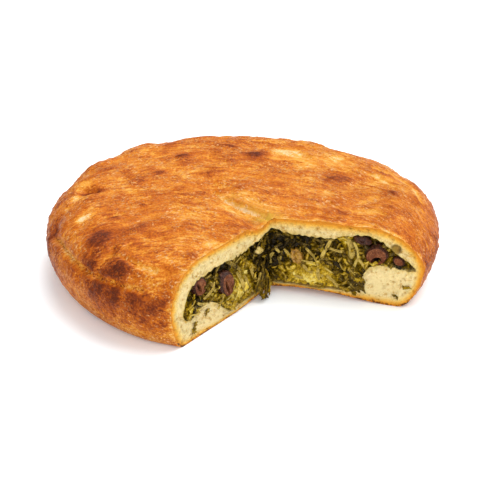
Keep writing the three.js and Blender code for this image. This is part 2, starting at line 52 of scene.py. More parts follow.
camera = bpy.data.objects.new("camera", bpy.data.cameras.new("camera"))
camera.data.lens = LENS
camera.data.sensor_width = SENSOR
camera.location = (
    VIEW_TARGET[0],
    -VIEW_DISTANCE * math.cos(VIEW_HEIGHT),
    VIEW_TARGET[2] + VIEW_DISTANCE * math.sin(VIEW_HEIGHT),
)
camera.rotation_euler = (math.pi / 2 - VIEW_HEIGHT, 0, 0)
bpy.context.collection.objects.link(camera)
bpy.context.scene.camera = camera


# ---- Dough -------------------------------------------------------------------------------
# One shell of leavened dough: a thin round base and a top laid over the greens and pinched to
# it all round, then brushed with oil and baked until the skin browned. A knife has taken a big
# slice out, so the cream crumb shows at both cuts.

RADIUS = 140  # of the belly, in millimetres, as are all sizes up to the mesh itself
TOP_HEIGHT = 56
BELLY_HEIGHT = 29
BASE_INSET = 17
SHOULDER = 36
SIDE_CURVE = 1.3
SHOULDER_RUN = 1.8
SHOULDER_RISE = 1.7
OUTLINE_WAVES = ((2, -0.001, -0.008), (3, 0.006, 0.006), (4, 0.001, 0.006), (5, -0.004, 0.003))
TIP = np.array((19.7, -42.4))
RIGHT_CUT = math.radians(-15.5)
LEFT_CUT = math.radians(233)
TUCK = 5.3
TUCK_SPREAD = math.radians(14)
LIFT_OUT, LIFT_SPREAD, LIFT_HEIGHT = 25, 60, 5  # of the base at the tip, off the table
REACH_ROUNDS = 24  # steps that find where a line from the tip meets the outline

# Folds of the crust, as in the solid: from, to, width, and depth (- sinks in, + swells out).
FOLDS = (
    ((-131, -30, 40), (-105, -85, 39), 5, -3),
    ((-105, -85, 39), (-78, -110, 39), 5, -2.2),
    ((-114, -3, 55), (-131, -30, 40), 6, -1.6),
    ((-94, -97, 41), (-83, -87, 51), 5, -2.4),
    ((-106, -72, 46), (-104, -76, 44), 11, 2.6),
    ((-84, -99, 46), (-74, -104, 46), 11, 2.6),
    ((-120, -62, 26), (-84, -106, 26), 12, 1.6),
    ((-126, -42, 46), (-116, -58, 47), 10, 1.8),
    ((-113, 6, 55), (-106, 5, 56), 5, -4),
    ((-118, 20, 54), (-96, 24, 56), 9, 1.6),
    ((-22, 15, 56), (14, -56, 56), 11, -4.6),
    ((-30, -42, 56), (-46, -66, 56), 26, 1.2),
    ((-113, 55, 52), (-108, 60, 52), 12, 3),
    ((-84, 90, 52), (-78, 94, 52), 13, 3),
    ((104, -26, 52), (124, 14, 50), 12, 2),
    ((70, 98, 54), (118, 44, 51), 6, -1.8),
    ((60, 46, 56), (76, 38, 56), 16, 1.2),
)
# Finer creases, cracks and blisters that the solid leaves out.
CREASES = (
    ((-5, -6, 55), (15, -28, 52), 3.2, 1.3),
    ((-112, 9, 54), (-106, 8, 55.5), 2.2, -3.2),
    ((-118, -5, 52), (-113, 3, 55), 1.5, -1.4),
    ((-92, -45, 56), (-82, -36, 56), 0.9, -1.0),
    ((-42, -38, 57), (-32, -40, 57), 0.9, -0.9),
    ((-42, -67, 57), (-33, -63, 57), 0.9, -0.7),
    ((-70, -18, 56), (-44, -12, 56), 1.0, -0.7),
    ((-60, 60, 56), (-22, 66, 56), 1.2, -0.7),
    ((40, 84, 56), (96, 66, 54), 1.2, -0.9),
    ((103, 48, 55), (124, 21, 52), 1.2, -1.2),
    ((124, 21, 52), (133, 12, 45), 1.2, -1.0),
    ((30, 108, 54), (80, 92, 53), 1.5, 0.9),
    ((88, 30, 56), (120, 8, 53), 1.6, 0.8),
    ((95, 44, 55), (124, 14, 52), 1.3, -0.8),
    ((-60, 34, 56), (-57, 34, 56), 3.8, 1.8),
    ((-46, 65, 56), (-43, 65, 56), 4.2, 2.0),
    ((-54, 92, 56), (-50, 92, 56), 5.0, 1.8),
    ((-25, 34, 56), (-21, 34, 56), 4.0, 1.5),
    ((-79, 17, 56), (-74, 20, 56), 3.0, 1.4),
    ((-1, 11, 56), (3, 12, 56), 4.2, 1.6),
    ((8, 69, 56), (12, 70, 56), 4.2, 1.6),
    ((103, -5, 56), (107, -7, 56), 5.0, 1.0),
    ((-97, -73, 53), (-93, -71, 53), 6.0, 1.6),
    ((68, 22, 56), (76, 18, 56), 5.0, 1.4),
)
# Seams of the pinched dough: the way they run, half their width, depth, and how pale they are.
# A way without heights runs over the top as seen from above.
SEAMS = (
    (
        (
            (-131, -34, 37), (-124, -47, 40), (-113, -70, 40), (-103, -84, 38),
            (-93, -95, 38), (-81, -107, 40), (-64, -119, 41),
        ),
        1.7, 2.4, 1.0,
    ),
    (
        (
            (-93, -94, 40), (-91, -91, 45), (-85, -88, 49),
            (-76, -96, 52), (-66, -106, 52), (-55, -112, 51),
        ),
        1.5, 1.8, 0.9,
    ),
    (((-21, 10), (-9, -10), (0.5, -22.5), (9.7, -32), (18, -41)), 1.6, 2.6, 0.9),
    (((20, 78), (30, 84), (41, 76), (50, 64)), 1.8, 2.0, 0.3),
    (((16, 66), (28, 62), (42, 60), (54, 50)), 1.6, 1.2, 0.7),
    (((98, 46), (112, 32), (122, 12), (126, -6)), 1.6, 1.6, 0.6),
    (((84, 40), (98, 26), (108, 8)), 1.5, 1.2, 0.5),
    (((-94, -43), (-81, -36)), 1.2, 1.5, 0.2),
)
SEAM_LIP = 0.35  # height of the lips beside a seam, as a share of its depth
SEAM_WANDER = 0.35  # how far a seam strays from its line, as a share of its width
SEAM_UNEVEN = 0.25  # share of a seam's depth that comes and goes
LIP_PLACE = 2.4  # of the lips, in half widths from the line
PALE_PLACE = 1.7  # how far the paleness reaches, in half widths
# Where the oven browned the skin more (+) or left it pale (-), and where shade and sheen are painted
# on: middle, spread, strength.
BROWNING_AND_PAINTED_LIGHT = (
    ((-95, -72, 53), 8, 0.30),
    ((-90, -68, 55), 16, 0.16),
    ((-97, -85, 45), 9, 0.22),
    ((-82, -101, 47), 10, 0.20),
    ((-74, -108, 46), 8, 0.22),
    ((-92, -103, 34), 9, 0.26),
    ((-80, -113, 33), 9, 0.26),
    ((-64, -122, 34), 10, 0.24),
    ((-52, -125, 32), 9, 0.24),
    ((-131, -27, 42), 10, 0.36),
    ((-99, -88, 43), 5, 0.24),
    ((-80, -105, 47), 8, 0.26),
    ((-94, -101, 34), 6, 0.14),
    ((-81, -112, 35), 7, 0.14),
    ((-69, -120, 35), 7, 0.16),
    ((-125, 4, 48), 12, 0.22),
    ((-60, 34, 56), 7, 0.22),
    ((-45, 65, 56), 8, 0.22),
    ((-52, 92, 56), 9, 0.24),
    ((-23, 34, 56), 7, 0.18),
    ((-77, 18, 56), 7, 0.18),
    ((2, 12, 56), 10, 0.20),
    ((9, 69, 56), 9, 0.22),
    ((70, 22, 56), 13, 0.26),
    ((78, -7, 56), 7, 0.16),
    ((68, -34, 56), 4, 0.30),
    ((105, -6, 57), 9, 0.24),
    ((106, 35, 56), 6, 0.22),
    ((107, -34, 56), 7, 0.16),
    ((-103, 4, 55), 7, 0.42),
    # Painted shade: the hole in the left shoulder is darkened inside.
    ((-110, 8, 54), 4, 0.60),
    # Painted shade: the small crack in front of the seam is darkened along its length.
    ((-87, -41, 56), 5, 0.20),
    ((-116, -3, 53), 5, -0.60),
    ((-114, 15, 54), 6, -0.30),
    ((-109, -40, 54), 3.6, -0.75),
    ((-103, -37, 55), 3.4, -0.40),
    ((-22, -85, 56), 3.6, -0.50),
    ((-17, -82, 55), 3, -0.40),
    ((-30, -88, 54), 3, -0.34),
    ((-34, -80, 56), 12, -0.12),
    ((36, 74, 56), 9, -0.40),
    ((26, 76, 56), 7, -0.30),
    ((42, 64, 56), 6, -0.24),
    ((11, 69, 56), 6, 0.20),
    ((-8, -12, 54), 17, -0.18),
    ((8, -30, 52), 13, -0.22),
    ((22, -48, 50), 8, -0.10),
    ((62, 60, 56), 12, -0.20),
    ((60, 96, 54), 12, -0.16),
    # Pale spots on the right shoulder, partly cream wrinkles and partly painted sheen; the spot at (90,
    # -34) is a painted highlight.
    ((104, 20, 54), 8, -0.36),
    ((118, 4, 50), 8, -0.30),
    ((112, 40, 52), 7, -0.26),
    ((90, -34, 54), 8, -0.22),
    ((27, 76, 56), 5, -0.20),
    ((34, 80, 56), 5, -0.24),
    ((40, 74, 56), 5, -0.16),
    ((44, 48, 56), 5, -0.24),
    ((72, 63, 56), 6, -0.28),
    ((81, -36, 56), 5, -0.26),
    ((98, 28, 56), 4.5, -0.34),
    ((93, 14, 56), 4, -0.24),
    ((54, 63, 56), 4, -0.20),
    ((2, 1, 55), 4, -0.24),
    ((41, -8, 56), 7, 0.12),
    ((62, 25, 56), 7, 0.16),
    # Painted shade: the lower left side, turned away from the window light, is darker.
    ((-134, -26, 26), 17, 0.16),
    ((-121, -56, 24), 18, 0.14),
    ((-65, 52, 56), 9, -0.12),
    ((-38, -40, 57), 12, -0.12),
)
# Where the greens' juice came through the skin: middle, spread, strength.
STAINS = (
    ((19, -41, 51), 9, 0.9),
    ((10, -32, 52), 8, 0.55),
    ((2, -20, 53), 8, 0.4),
    ((-10, -4, 54), 8, 0.25),
)

# The hollow at each cut: reach of the cut, distance of its wall, lines of its ceiling and floor.
RIGHT_HOLLOW = (
    105.1,
    100,
    ((0, 48), (16, 45), (40, 45), (56, 49), (70, 49.5), (78, 46), (87, 39), (100, 30.5)),
    ((0, 7), (45, 7), (57, 9), (62, 18), (68, 27), (80, 28.5), (100, 27)),
)
LEFT_HOLLOW = (
    106.5,
    90,
    ((0, 48), (14, 44), (40, 41.5), (55, 42.8), (72, 41.5), (82, 38), (90, 28)),
    ((0, 7), (16, 5), (42, 4.5), (50, 9), (58, 17), (66, 20.5), (74, 20.5), (80, 16.5), (90, 16.5)),
)


def lerp(a, b, t):
    return a + (b - a) * t


def smooth(value, low, high):
    t = np.clip((value - low) / (high - low), 0, 1)
    return t * t * (3 - 2 * t)


def outline_radius(angle):
    share = 1
    for turns, cosine, sine in OUTLINE_WAVES:
        share = share + cosine * np.cos(turns * angle) + sine * np.sin(turns * angle)
    return RADIUS * share


def along(angle, distance, z):
    """Points at a distance from the tip, in a direction seen from above, and at a height."""
    angle, distance, z = np.broadcast_arrays(angle, distance, z)
    x = TIP[0] + np.cos(angle) * distance
    y = TIP[1] + np.sin(angle) * distance
    return np.stack((x, y, z), axis=-1).astype(float)


def reach(angle):
    """How far the outline lies from the tip in a direction."""
    distance = np.full_like(angle, float(RADIUS))
    for _ in range(REACH_ROUNDS):
        x, y, _ = np.moveaxis(along(angle, distance, 0), -1, 0)
        distance = distance + outline_radius(np.arctan2(y, x)) - np.hypot(x, y)
    return distance


def line_distance(points, start, end):
    start, end = np.array(start, float), np.array(end, float)
    run = end - start
    share = np.clip((points - start) @ run / (run @ run), 0, 1)
    return np.linalg.norm(points - start - share[..., None] * run, axis=-1)


def fold_depth(points, folds):
    """Sum of soft folds (from, to, width, depth) at each point."""
    depth = np.zeros(points.shape[:-1])
    for start, end, width, rise in folds:
        depth += rise * np.exp(-((line_distance(points, start, end) / width) ** 2))
    return depth


def seam_fields(points):
    """Depth of the seams in millimetres, with their lips, and how pale they are, for each point."""
    depth, pale = np.zeros(points.shape[:-1]), np.zeros(points.shape[:-1])
    for route, width, deep, whiteness in SEAMS:
        place = points[:, : len(route[0])]
        away = np.min([line_distance(place, a, b) for a, b in zip(route, route[1:])], axis=0)
        away = np.where(points[:, 2] > BELLY_HEIGHT, away, RADIUS)
        wander = np.sin(points @ (0.9, 0.7, 1.1)) * np.sin(points @ (-0.4, 0.6, 0.3))
        away = away / width + SEAM_WANDER * wander * np.minimum(away / width, 1)
        lips = SEAM_LIP * np.exp(-((away - LIP_PLACE) ** 2))
        depth += deep * (lips - np.exp(-(away**2)) * (1 - SEAM_UNEVEN + SEAM_UNEVEN * wander))
        pale = np.maximum(pale, whiteness * np.exp(-((away / PALE_PLACE) ** 2)))
    return depth, pale


def spotted(points, spots):
    """Sum of soft round spots (middle, spread, strength) at each point."""
    value = np.zeros(len(points))
    for middle, spread, strength in spots:
        away = np.linalg.norm(points - np.array(middle), axis=1) / spread
        value += strength * np.exp(-(away**2))
    return value


def from_cut(points):
    """How far each point lies from the nearer of the two cuts, seen from above."""
    ends = [along(angle, RADIUS, 0)[:2] for angle in (RIGHT_CUT, LEFT_CUT)]
    return np.minimum(*[line_distance(points[:, :2], TIP, end) for end in ends])


def skin_ring(angle, station):
    """Points of the skin at one station of its section, and which way relief stands on it."""
    full = reach(angle)
    tuck = TUCK * smooth(angle, LEFT_CUT - TUCK_SPREAD, LEFT_CUT)
    base, belly, flat = full - BASE_INSET, full - tuck, full - SHOULDER
    if station <= 1:
        points = along(angle, base * station, 0)
        middle = along(RIGHT_CUT, LIFT_OUT, 0)
        share = np.hypot(points[:, 0] - middle[0], points[:, 1] - middle[1]) / LIFT_SPREAD
        points[:, 2] = np.where(share < 1, LIFT_HEIGHT * (1 - np.minimum(share, 1) ** 2) ** 2, 0)
        return points, np.zeros_like(points)
    if station <= 2:
        rise = station - 1
        distance = lerp(belly, base, (1 - rise) ** SIDE_CURVE)
        points = along(angle, distance, BELLY_HEIGHT * rise**2)
        share = smooth(rise, 0.2, 0.7)
        way = along(angle, share, 0) - along(angle, 0, 0)
        return points + fold_depth(points, FOLDS)[:, None] * way, way
    turn = (min(station, 3) - 2) * math.pi / 2
    inset = 1 - math.cos(turn)
    rise = min((1 - (1 - inset) ** SHOULDER_RUN) ** (1 / SHOULDER_RISE), 1)
    distance = lerp(belly, flat, inset) if station <= 3 else flat * (4 - station)
    points = along(angle, distance, lerp(BELLY_HEIGHT, TOP_HEIGHT, rise))
    way = along(angle, math.cos(turn), math.sin(turn)) - along(angle, 0, 0)
    return points + fold_depth(points, FOLDS)[:, None] * way, way


def height_along(line, distance):
    """Height of a line of (distance, height) points, as a smooth curve through them."""
    x, y = np.array(line, float).T
    k = np.clip(np.searchsorted(x, distance, side="right") - 1, 0, len(x) - 2)
    every = np.arange(len(x))
    before, after = np.maximum(every - 1, 0), np.minimum(every + 1, len(x) - 1)
    slope = (y[after] - y[before]) / (x[after] - x[before])
    run = x[k + 1] - x[k]
    rate = (y[k + 1] - y[k]) / run
    t = np.clip((distance - x[k]) / run, 0, 1)
    bend = t * (1 - t) * run
    return lerp(y[k], y[k + 1], t) + bend * ((slope[k] - rate) * (1 - t) - (slope[k + 1] - rate) * t)


WALL_ROUNDING = 0.06  # share of the hollow's reach over which floor and ceiling round together
# The crumb tore along the hollow: waves for each millimetre from the tip, and their heights.
RAGGED = ((0.31, 0.5), (0.57, 0.3), (1.1, 0.06), (1.9, 0.05))


def hollow_at(angle, share):
    """Distance, floor and ceiling of the hollow at a share of its reach in one direction."""
    blend = smooth(angle, RIGHT_CUT, LEFT_CUT)
    wall = lerp(RIGHT_HOLLOW[1] / RIGHT_HOLLOW[0], LEFT_HOLLOW[1] / LEFT_HOLLOW[0], blend)
    heights = []
    for line in (2, 3):
        right = height_along(RIGHT_HOLLOW[line], share * RIGHT_HOLLOW[1])
        left = height_along(LEFT_HOLLOW[line], share * LEFT_HOLLOW[1])
        heights.append(lerp(right, left, blend))
    ceiling, floor = heights
    over = np.clip((share - 1 + WALL_ROUNDING) / WALL_ROUNDING, 0, 1)
    half = (ceiling - floor) / 2 * np.sqrt(np.maximum(1 - over**2, 0))
    middle = (ceiling + floor) / 2
    torn = 0
    for waves, rise in RAGGED:
        place = 100 * share + 40 * blend
        torn = torn + rise * np.sin(waves * place + 3 * np.sin(0.37 * place + 9 * waves))
    torn = torn * smooth(share, 0, 0.08) * smooth(share, 1, 0.93)
    return reach(angle) * wall * share, middle - half + torn, middle + half - torn


# Rings of the skin: from station, to station, steps. The hollow's line has as many points, and
# its points face those of the skin across the crumb.
RINGS = ((0, 1, 14), (1, 2, 22), (2, 3, 40), (3, 4, 84))
FACING = (0, 0.8, 1, 1.3, 2)  # share along the hollow's floor and back, at stations 0 to 4
MOST_SEGMENTS = 512
BASE_SEGMENTS = 256
CRUMB_LAYERS = 22
LAYER_EASE = 1.35  # above 1, the layers are finer near the skin
HOLLOW_TURNS = 16
FIRST_TURN = 0.05
SHARP_EDGE = math.radians(50)

stations = [0.0]
for first, last, steps in RINGS:
    stations += [lerp(first, last, k / steps) for k in range(1, steps + 1)]


def ring_segments(station):
    """Fewer segments near the tip of the cuts, where the rings are small."""
    most = BASE_SEGMENTS if station < 1 else MOST_SEGMENTS
    share = station if station < 1 else (4 - station if station > 3 else 1)
    if share <= 0:
        return 0
    while most > 9 and share < 0.5:
        share *= 2
        most //= 2
    return most


def hollow_line(angle):
    """Points along the hollow's floor and back along its ceiling, as many as the stations."""
    facing = np.interp(stations, range(5), FACING)
    share = np.where(facing <= 1, facing, 2 - facing)
    distance, floor, ceiling = hollow_at(np.full_like(share, angle), share)
    return along(angle, distance, np.where(facing <= 1, floor, ceiling))


def join_rings(faces, lower, upper):
    """Faces between two rings whose counts are equal, or one twice the other."""
    a, b = len(lower) - 1, len(upper) - 1
    if a == b:
        faces += [(lower[k], lower[k + 1], upper[k + 1], upper[k]) for k in range(a)]
    elif b == 0:
        faces += [(lower[k], lower[k + 1], upper[0]) for k in range(a)]
    elif a == 0:
        faces += [(lower[0], upper[k + 1], upper[k]) for k in range(b)]
    elif a == 2 * b:
        for k in range(b):
            p, q, r = lower[2 * k : 2 * k + 3]
            faces += [(p, q, upper[k]), (q, upper[k + 1], upper[k]), (q, r, upper[k + 1])]
    else:
        for k in range(a):
            p, q, r = upper[2 * k : 2 * k + 3]
            faces += [(lower[k], q, p), (lower[k], lower[k + 1], q), (lower[k + 1], r, q)]


def strip(a, b):
    """Faces between two lines of points, triangles where the lines meet."""
    return [tuple(dict.fromkeys((a[k], a[k + 1], b[k + 1], b[k]))) for k in range(len(a) - 1)]


def add_points(store, points, **values):
    """Keeps points with their values, and gives their numbers."""
    first = sum(len(p) for p in store["points"])
    store["points"].append(points)
    for name, value in values.items():
        store[name].append(np.broadcast_to(value, (len(points),) + np.shape(value)[1:]))
    return list(range(first, first + len(points)))


NO_WAY = np.zeros((1, 3))
FAR_OFF = 20.0  # for a distance that no longer matters
store = {"points": [], "way": [], "rind": [], "cut": [], "from_hollow": [], "cut_way": []}
on_skin = {"rind": 0.0, "cut": 0.0, "from_hollow": FAR_OFF, "cut_way": NO_WAY}
in_hollow = {"rind": FAR_OFF, "cut": 0.0, "from_hollow": 0.0, "cut_way": NO_WAY}
skin_faces, cut_faces, hollow_faces = [], [], []
rings = []
for station in stations:
    count = ring_segments(station)
    angles = np.linspace(RIGHT_CUT, LEFT_CUT, count + 1) if count else np.array([RIGHT_CUT])
    ring, way = skin_ring(angles, station)
    rings.append(add_points(store, ring, way=way, **on_skin))
for lower, upper in zip(rings, rings[1:]):
    join_rings(skin_faces, lower, upper)

hollow_angles = np.concatenate((
    [RIGHT_CUT],
    np.linspace(RIGHT_CUT + FIRST_TURN, LEFT_CUT - FIRST_TURN, HOLLOW_TURNS - 1),
    [LEFT_CUT],
))
hollow_tips = None
hollow_rows = []
for angle in hollow_angles:
    line = hollow_line(angle)
    if hollow_tips is None:
        hollow_tips = add_points(store, line[[0, -1]], way=NO_WAY, **in_hollow)
    row = add_points(store, line[1:-1], way=NO_WAY, **in_hollow)
    hollow_rows.append([hollow_tips[0], *row, hollow_tips[1]])
for a, b in zip(hollow_rows, hollow_rows[1:]):
    hollow_faces += strip(a, b)

# Each cut's crumb is a grid between the skin's line and the hollow's, finer near the skin. Its
# two ends, along the tip's upright edge, are shared by both cuts.
layer_shares = (np.arange(CRUMB_LAYERS + 1) / CRUMB_LAYERS) ** LAYER_EASE
tip_edges = {}
for side, end in (("right", 0), ("left", -1)):
    outer = [ring[end] for ring in rings]
    inner = hollow_rows[end]
    angle = RIGHT_CUT - math.pi / 2 if side == "right" else LEFT_CUT + math.pi / 2
    outward = np.array(((math.cos(angle), math.sin(angle), 0),))
    every = np.concatenate(store["points"])
    columns = []
    for k, (skin, inside) in enumerate(zip(outer, inner)):
        if k in tip_edges:
            columns.append(tip_edges[k])
            continue
        ray = lerp(every[skin], every[inside], layer_shares[1:-1, None])
        depth = np.linalg.norm(ray - every[skin], axis=1)
        from_hollow = np.linalg.norm(ray - every[inside], axis=1)
        values = {"rind": depth, "cut": 1.0, "from_hollow": from_hollow, "cut_way": outward}
        column = [skin, *add_points(store, ray, way=NO_WAY, **values), inside]
        columns.append(column)
        if k in (0, len(outer) - 1):
            tip_edges[k] = column
    for a, b in zip(columns, columns[1:]):
        for k in range(CRUMB_LAYERS):
            face = (a[k], a[k + 1], b[k + 1], b[k])
            cut_faces.append(face if side == "right" else face[::-1])

points = np.concatenate(store["points"])
ways = np.concatenate(store["way"])
skin_faces = [f[::-1] for f in skin_faces]
seam_depth, seam_pale = seam_fields(points)
points += (fold_depth(points, CREASES) + seam_depth)[:, None] * ways


def mesh_of(name, points, faces, material_rows=()):
    mesh = bpy.data.meshes.new(name)
    mesh.from_pydata((np.asarray(points) * MM).tolist(), [], faces)
    if len(material_rows):
        mesh.polygons.foreach_set("material_index", np.asarray(material_rows, np.int32))
    mesh.polygons.foreach_set("use_smooth", np.full(len(mesh.polygons), True))
    mesh.update()
    thing = bpy.data.objects.new(name, mesh)
    bpy.context.collection.objects.link(thing)
    return thing


def write_attribute(thing, name, values, kind="FLOAT"):
    attribute = thing.data.attributes.new(name, kind, "POINT")
    key = "vector" if kind == "FLOAT_VECTOR" else "value"
    attribute.data.foreach_set(key, np.asarray(values, np.float32).ravel())


parts = np.repeat((0, 1, 2), (len(skin_faces), len(cut_faces), len(hollow_faces)))
dough = mesh_of("dough_shell", points, skin_faces + cut_faces + hollow_faces, np.minimum(parts, 1))
write_attribute(dough, "browning_and_painted_light", spotted(points, BROWNING_AND_PAINTED_LIGHT))
write_attribute(dough, "stain", spotted(points, STAINS))
write_attribute(dough, "from_cut", from_cut(points))
write_attribute(dough, "crease", fold_depth(points, CREASES) + seam_depth)
write_attribute(dough, "seam", seam_pale)
for name in ("rind", "cut", "from_hollow"):
    write_attribute(dough, name, np.concatenate(store[name]))
write_attribute(dough, "relief_way", ways, "FLOAT_VECTOR")
write_attribute(dough, "cut_way", np.concatenate(store["cut_way"]), "FLOAT_VECTOR")
dough.data.set_sharp_from_angle(angle=SHARP_EDGE)


def fine_cuts(thing, name):
    """Splits every edge of the faces named by a face attribute, so that they can carry pores."""
    bm = bmesh.new()
    bm.from_mesh(thing.data)
    mark = bm.faces.layers.bool[name]
    edges = {e for f in bm.faces if f[mark] for e in f.edges}
    bmesh.ops.subdivide_edges(bm, edges=list(edges), cuts=1, use_grid_fill=True)
    bm.to_mesh(thing.data)
    bm.free()


for mark_name, part in (("is_cut", 1), ("is_skin", 0)):
    mark = dough.data.attributes.new(mark_name, "BOOLEAN", "FACE")
    mark.data.foreach_set("value", (parts == part).tolist())
fine_cuts(dough, "is_cut")


def put(tree, kind, wires=None, **settings):
    """Adds a node to a tree. Each wire is an input by name or number, and a value or an output."""
    node = tree.nodes.new(kind)
    for key, value in settings.items():
        setattr(node, key, value)
    for key, value in (wires or {}).items():
        if isinstance(value, bpy.types.NodeSocket):
            tree.links.new(value, node.inputs[key])
        else:
            node.inputs[key].default_value = value
    return node


def calc(tree, operation, a, b=0.5, c=0.5, clamp=False):
    wires = {0: a, 1: b, 2: c}
    return put(tree, "ShaderNodeMath", wires, operation=operation, use_clamp=clamp).outputs[0]


def times(tree, a, b):
    return calc(tree, "MULTIPLY", a, b)


def plus(tree, a, b):
    return calc(tree, "ADD", a, b)


def minus(tree, a, b):
    return calc(tree, "SUBTRACT", a, b)


def vectors(tree, operation, a, b):
    return put(tree, "ShaderNodeVectorMath", {0: a, 1: b}, operation=operation).outputs[0]


def scaled(tree, vector, size):
    wires = {0: vector, "Scale": size}
    return put(tree, "ShaderNodeVectorMath", wires, operation="SCALE").outputs[0]


def distance_to(tree, place, point):
    wires = {0: place, 1: point}
    return put(tree, "ShaderNodeVectorMath", wires, operation="DISTANCE").outputs["Value"]


def height_of(tree, place):
    return put(tree, "ShaderNodeSeparateXYZ", {0: place}).outputs[2]


def set_values(node, values):
    for name, value in values.items():
        node.inputs[name].default_value = value


def weigh(tree, start, *terms):
    """start plus each value times its weight, where a noise is counted from its middle."""
    total = start
    for value, weight, middle in terms:
        total = calc(tree, "MULTIPLY_ADD", minus(tree, value, middle), weight, total)
    return total


def colours(tree, value, stops):
    """A colour for each value, out of stops of a place and a colour."""
    ramp = put(tree, "ShaderNodeValToRGB", {0: value})
    elements = ramp.color_ramp.elements
    while len(elements) < len(stops):
        elements.new(0.5)
    for element, (place, colour) in zip(elements, stops):
        element.position = place
        element.color = (*colour, 1)
    return ramp.outputs["Color"]


def blend(tree, share, a, b, kind="MIX"):
    """Colour a, and as much of colour b as the share says."""
    node = put(tree, "ShaderNodeMix", data_type="RGBA", blend_type=kind)
    for key, value in ((0, share), (6, a), (7, b)):
        if isinstance(value, bpy.types.NodeSocket):
            tree.links.new(value, node.inputs[key])
        else:
            node.inputs[key].default_value = value if key == 0 else (*value, 1)
    return node.outputs[2]


def fade(tree, value, low, high):
    """0 below low and 1 above high, or the other way round where low is the larger."""
    wires = {0: value, 1: low, 2: high}
    return put(tree, "ShaderNodeMapRange", wires, interpolation_type="SMOOTHSTEP").outputs[0]


def noise(tree, place, size, detail=3, rough=0.55):
    """Cloudy noise with lumps of a size in millimetres."""
    wires = {"Vector": place, "Scale": 1 / size, "Detail": detail, "Roughness": rough}
    return put(tree, "ShaderNodeTexNoise", wires).outputs["Fac"]


def stretched(tree, place, along_x, across):
    """Place squeezed so that a noise of size 1 on it has streaks of these sizes."""
    return vectors(tree, "MULTIPLY", place, (1 / along_x, 1 / across, 1 / across))


# Every material of the pie is mottled twice over, in soft patches and in fine grain, which also
# roughens its surface. The group gives both, counted from their middle, for sizes in millimetres.
mottle = bpy.data.node_groups.new("mottle", "ShaderNodeTree")
MOTTLE_SOCKETS = (
    ("INPUT", {"Place": "Vector", "Soft Size": "Float", "Fine Size": "Float", "Relief": "Float"}),
    ("OUTPUT", {"Soft": "Float", "Fine": "Float", "Normal": "Vector"}),
)
for way_through, sockets in MOTTLE_SOCKETS:
    for name, kind in sockets.items():
        mottle.interface.new_socket(name, in_out=way_through, socket_type="NodeSocket" + kind)


def build_mottle(tree):
    given = put(tree, "NodeGroupInput")
    patches = []
    for size in ("Soft Size", "Fine Size"):
        scale = calc(tree, "DIVIDE", 1 / MM, given.outputs[size])
        wires = {"Vector": given.outputs["Place"], "Scale": scale, "Detail": 3, "Roughness": 0.6}
        patch = put(tree, "ShaderNodeTexNoise", wires).outputs["Fac"]
        patches.append(minus(tree, patch, 0.5))
    height = calc(tree, "MULTIPLY_ADD", patches[0], 0.8, patches[1])
    depth = times(tree, given.outputs["Relief"], MM)
    bump = put(tree, "ShaderNodeBump", {"Height": height, "Distance": depth, "Strength": 0.8})
    put(tree, "NodeGroupOutput", {0: patches[0], 1: patches[1], 2: bump.outputs[0]})


build_mottle(mottle)


def shader(name, soft_size, fine_size, relief):
    """A new material, its tree and shader, the place in millimetres, and its mottling."""
    material = bpy.data.materials.new(name)
    material.use_nodes = True
    tree = material.node_tree
    place = put(tree, "ShaderNodeTexCoord").outputs["Object"]
    wires = {"Place": place, "Soft Size": soft_size, "Fine Size": fine_size, "Relief": relief}
    spots = put(tree, "ShaderNodeGroup", wires, node_tree=mottle).outputs
    skin = tree.nodes["Principled BSDF"]
    tree.links.new(spots["Normal"], skin.inputs["Normal"])
    return material, tree, skin, millimetres(tree, place), spots["Soft"], spots["Fine"]


def value_of(tree, name):
    return put(tree, "ShaderNodeAttribute", attribute_name=name).outputs["Fac"]


def millimetres(tree, place):
    return scaled(tree, place, 1 / MM)


def around(tree, value):
    """A noise's value counted from its middle."""
    return minus(tree, value, 0.5)


# The dough was stretched over the filling from the back, so its fine wrinkles bend round the
# front like a bow, and dip towards the tip of the cuts.
FLOW_MIDDLE = -30
FLOW_BEND = 0.0042
FLOW_SWAY = 20
FLOW_SWAY_SIZE = 38
FLOW_DIP = 17
FLOW_DIP_REACH = 75


def along_flow(tree, plain):
    """A place whose X runs along the wrinkles, and whose Y and Z run across them."""
    split = put(tree, "ShaderNodeSeparateXYZ", {0: plain})
    off = minus(tree, split.outputs[0], FLOW_MIDDLE)
    bend = times(tree, times(tree, off, off), FLOW_BEND)
    sway = times(tree, around(tree, noise(tree, plain, FLOW_SWAY_SIZE, 1)), FLOW_SWAY)
    from_tip = distance_to(tree, plain, (*TIP, TOP_HEIGHT))
    dip = times(tree, fade(tree, from_tip, FLOW_DIP_REACH, 0), FLOW_DIP)
    across = plus(tree, plus(tree, split.outputs[1], bend), plus(tree, sway, dip))
    wires = {0: split.outputs[0], 1: across, 2: split.outputs[2]}
    return put(tree, "ShaderNodeCombineXYZ", wires).outputs[0]


# Baked skin: golden where it lay flat, brown where it stood up to the oven's heat, and pale in
# the creases and on the flour that was left on it.
BAKED = (
    (0.0, (0.80, 0.42, 0.085)),
    (0.18, (0.70, 0.275, 0.026)),
    (0.38, (0.56, 0.150, 0.006)),
    (0.58, (0.39, 0.078, 0.002)),
    (0.80, (0.20, 0.032, 0.002)),
    (1.0, (0.10, 0.016, 0.002)),
)
FLOUR = (0.80, 0.56, 0.30)
JUICE = (0.62, 0.40, 0.05)
GLINT = (0.92, 0.57, 0.27)
# Sizes in millimetres; streaks, wrinkles and glints are longer along the flow than across it.
BLOTCH_SIZE, SPECK_SIZE, BROAD_SIZE = 9, 1.3, 42
STREAK_SIZE, WRINKLE_SIZE, GLINT_SIZE = (22, 3.8), (13, 3.2), (2.4, 1.4)
FLECK_SIZE = 2.6
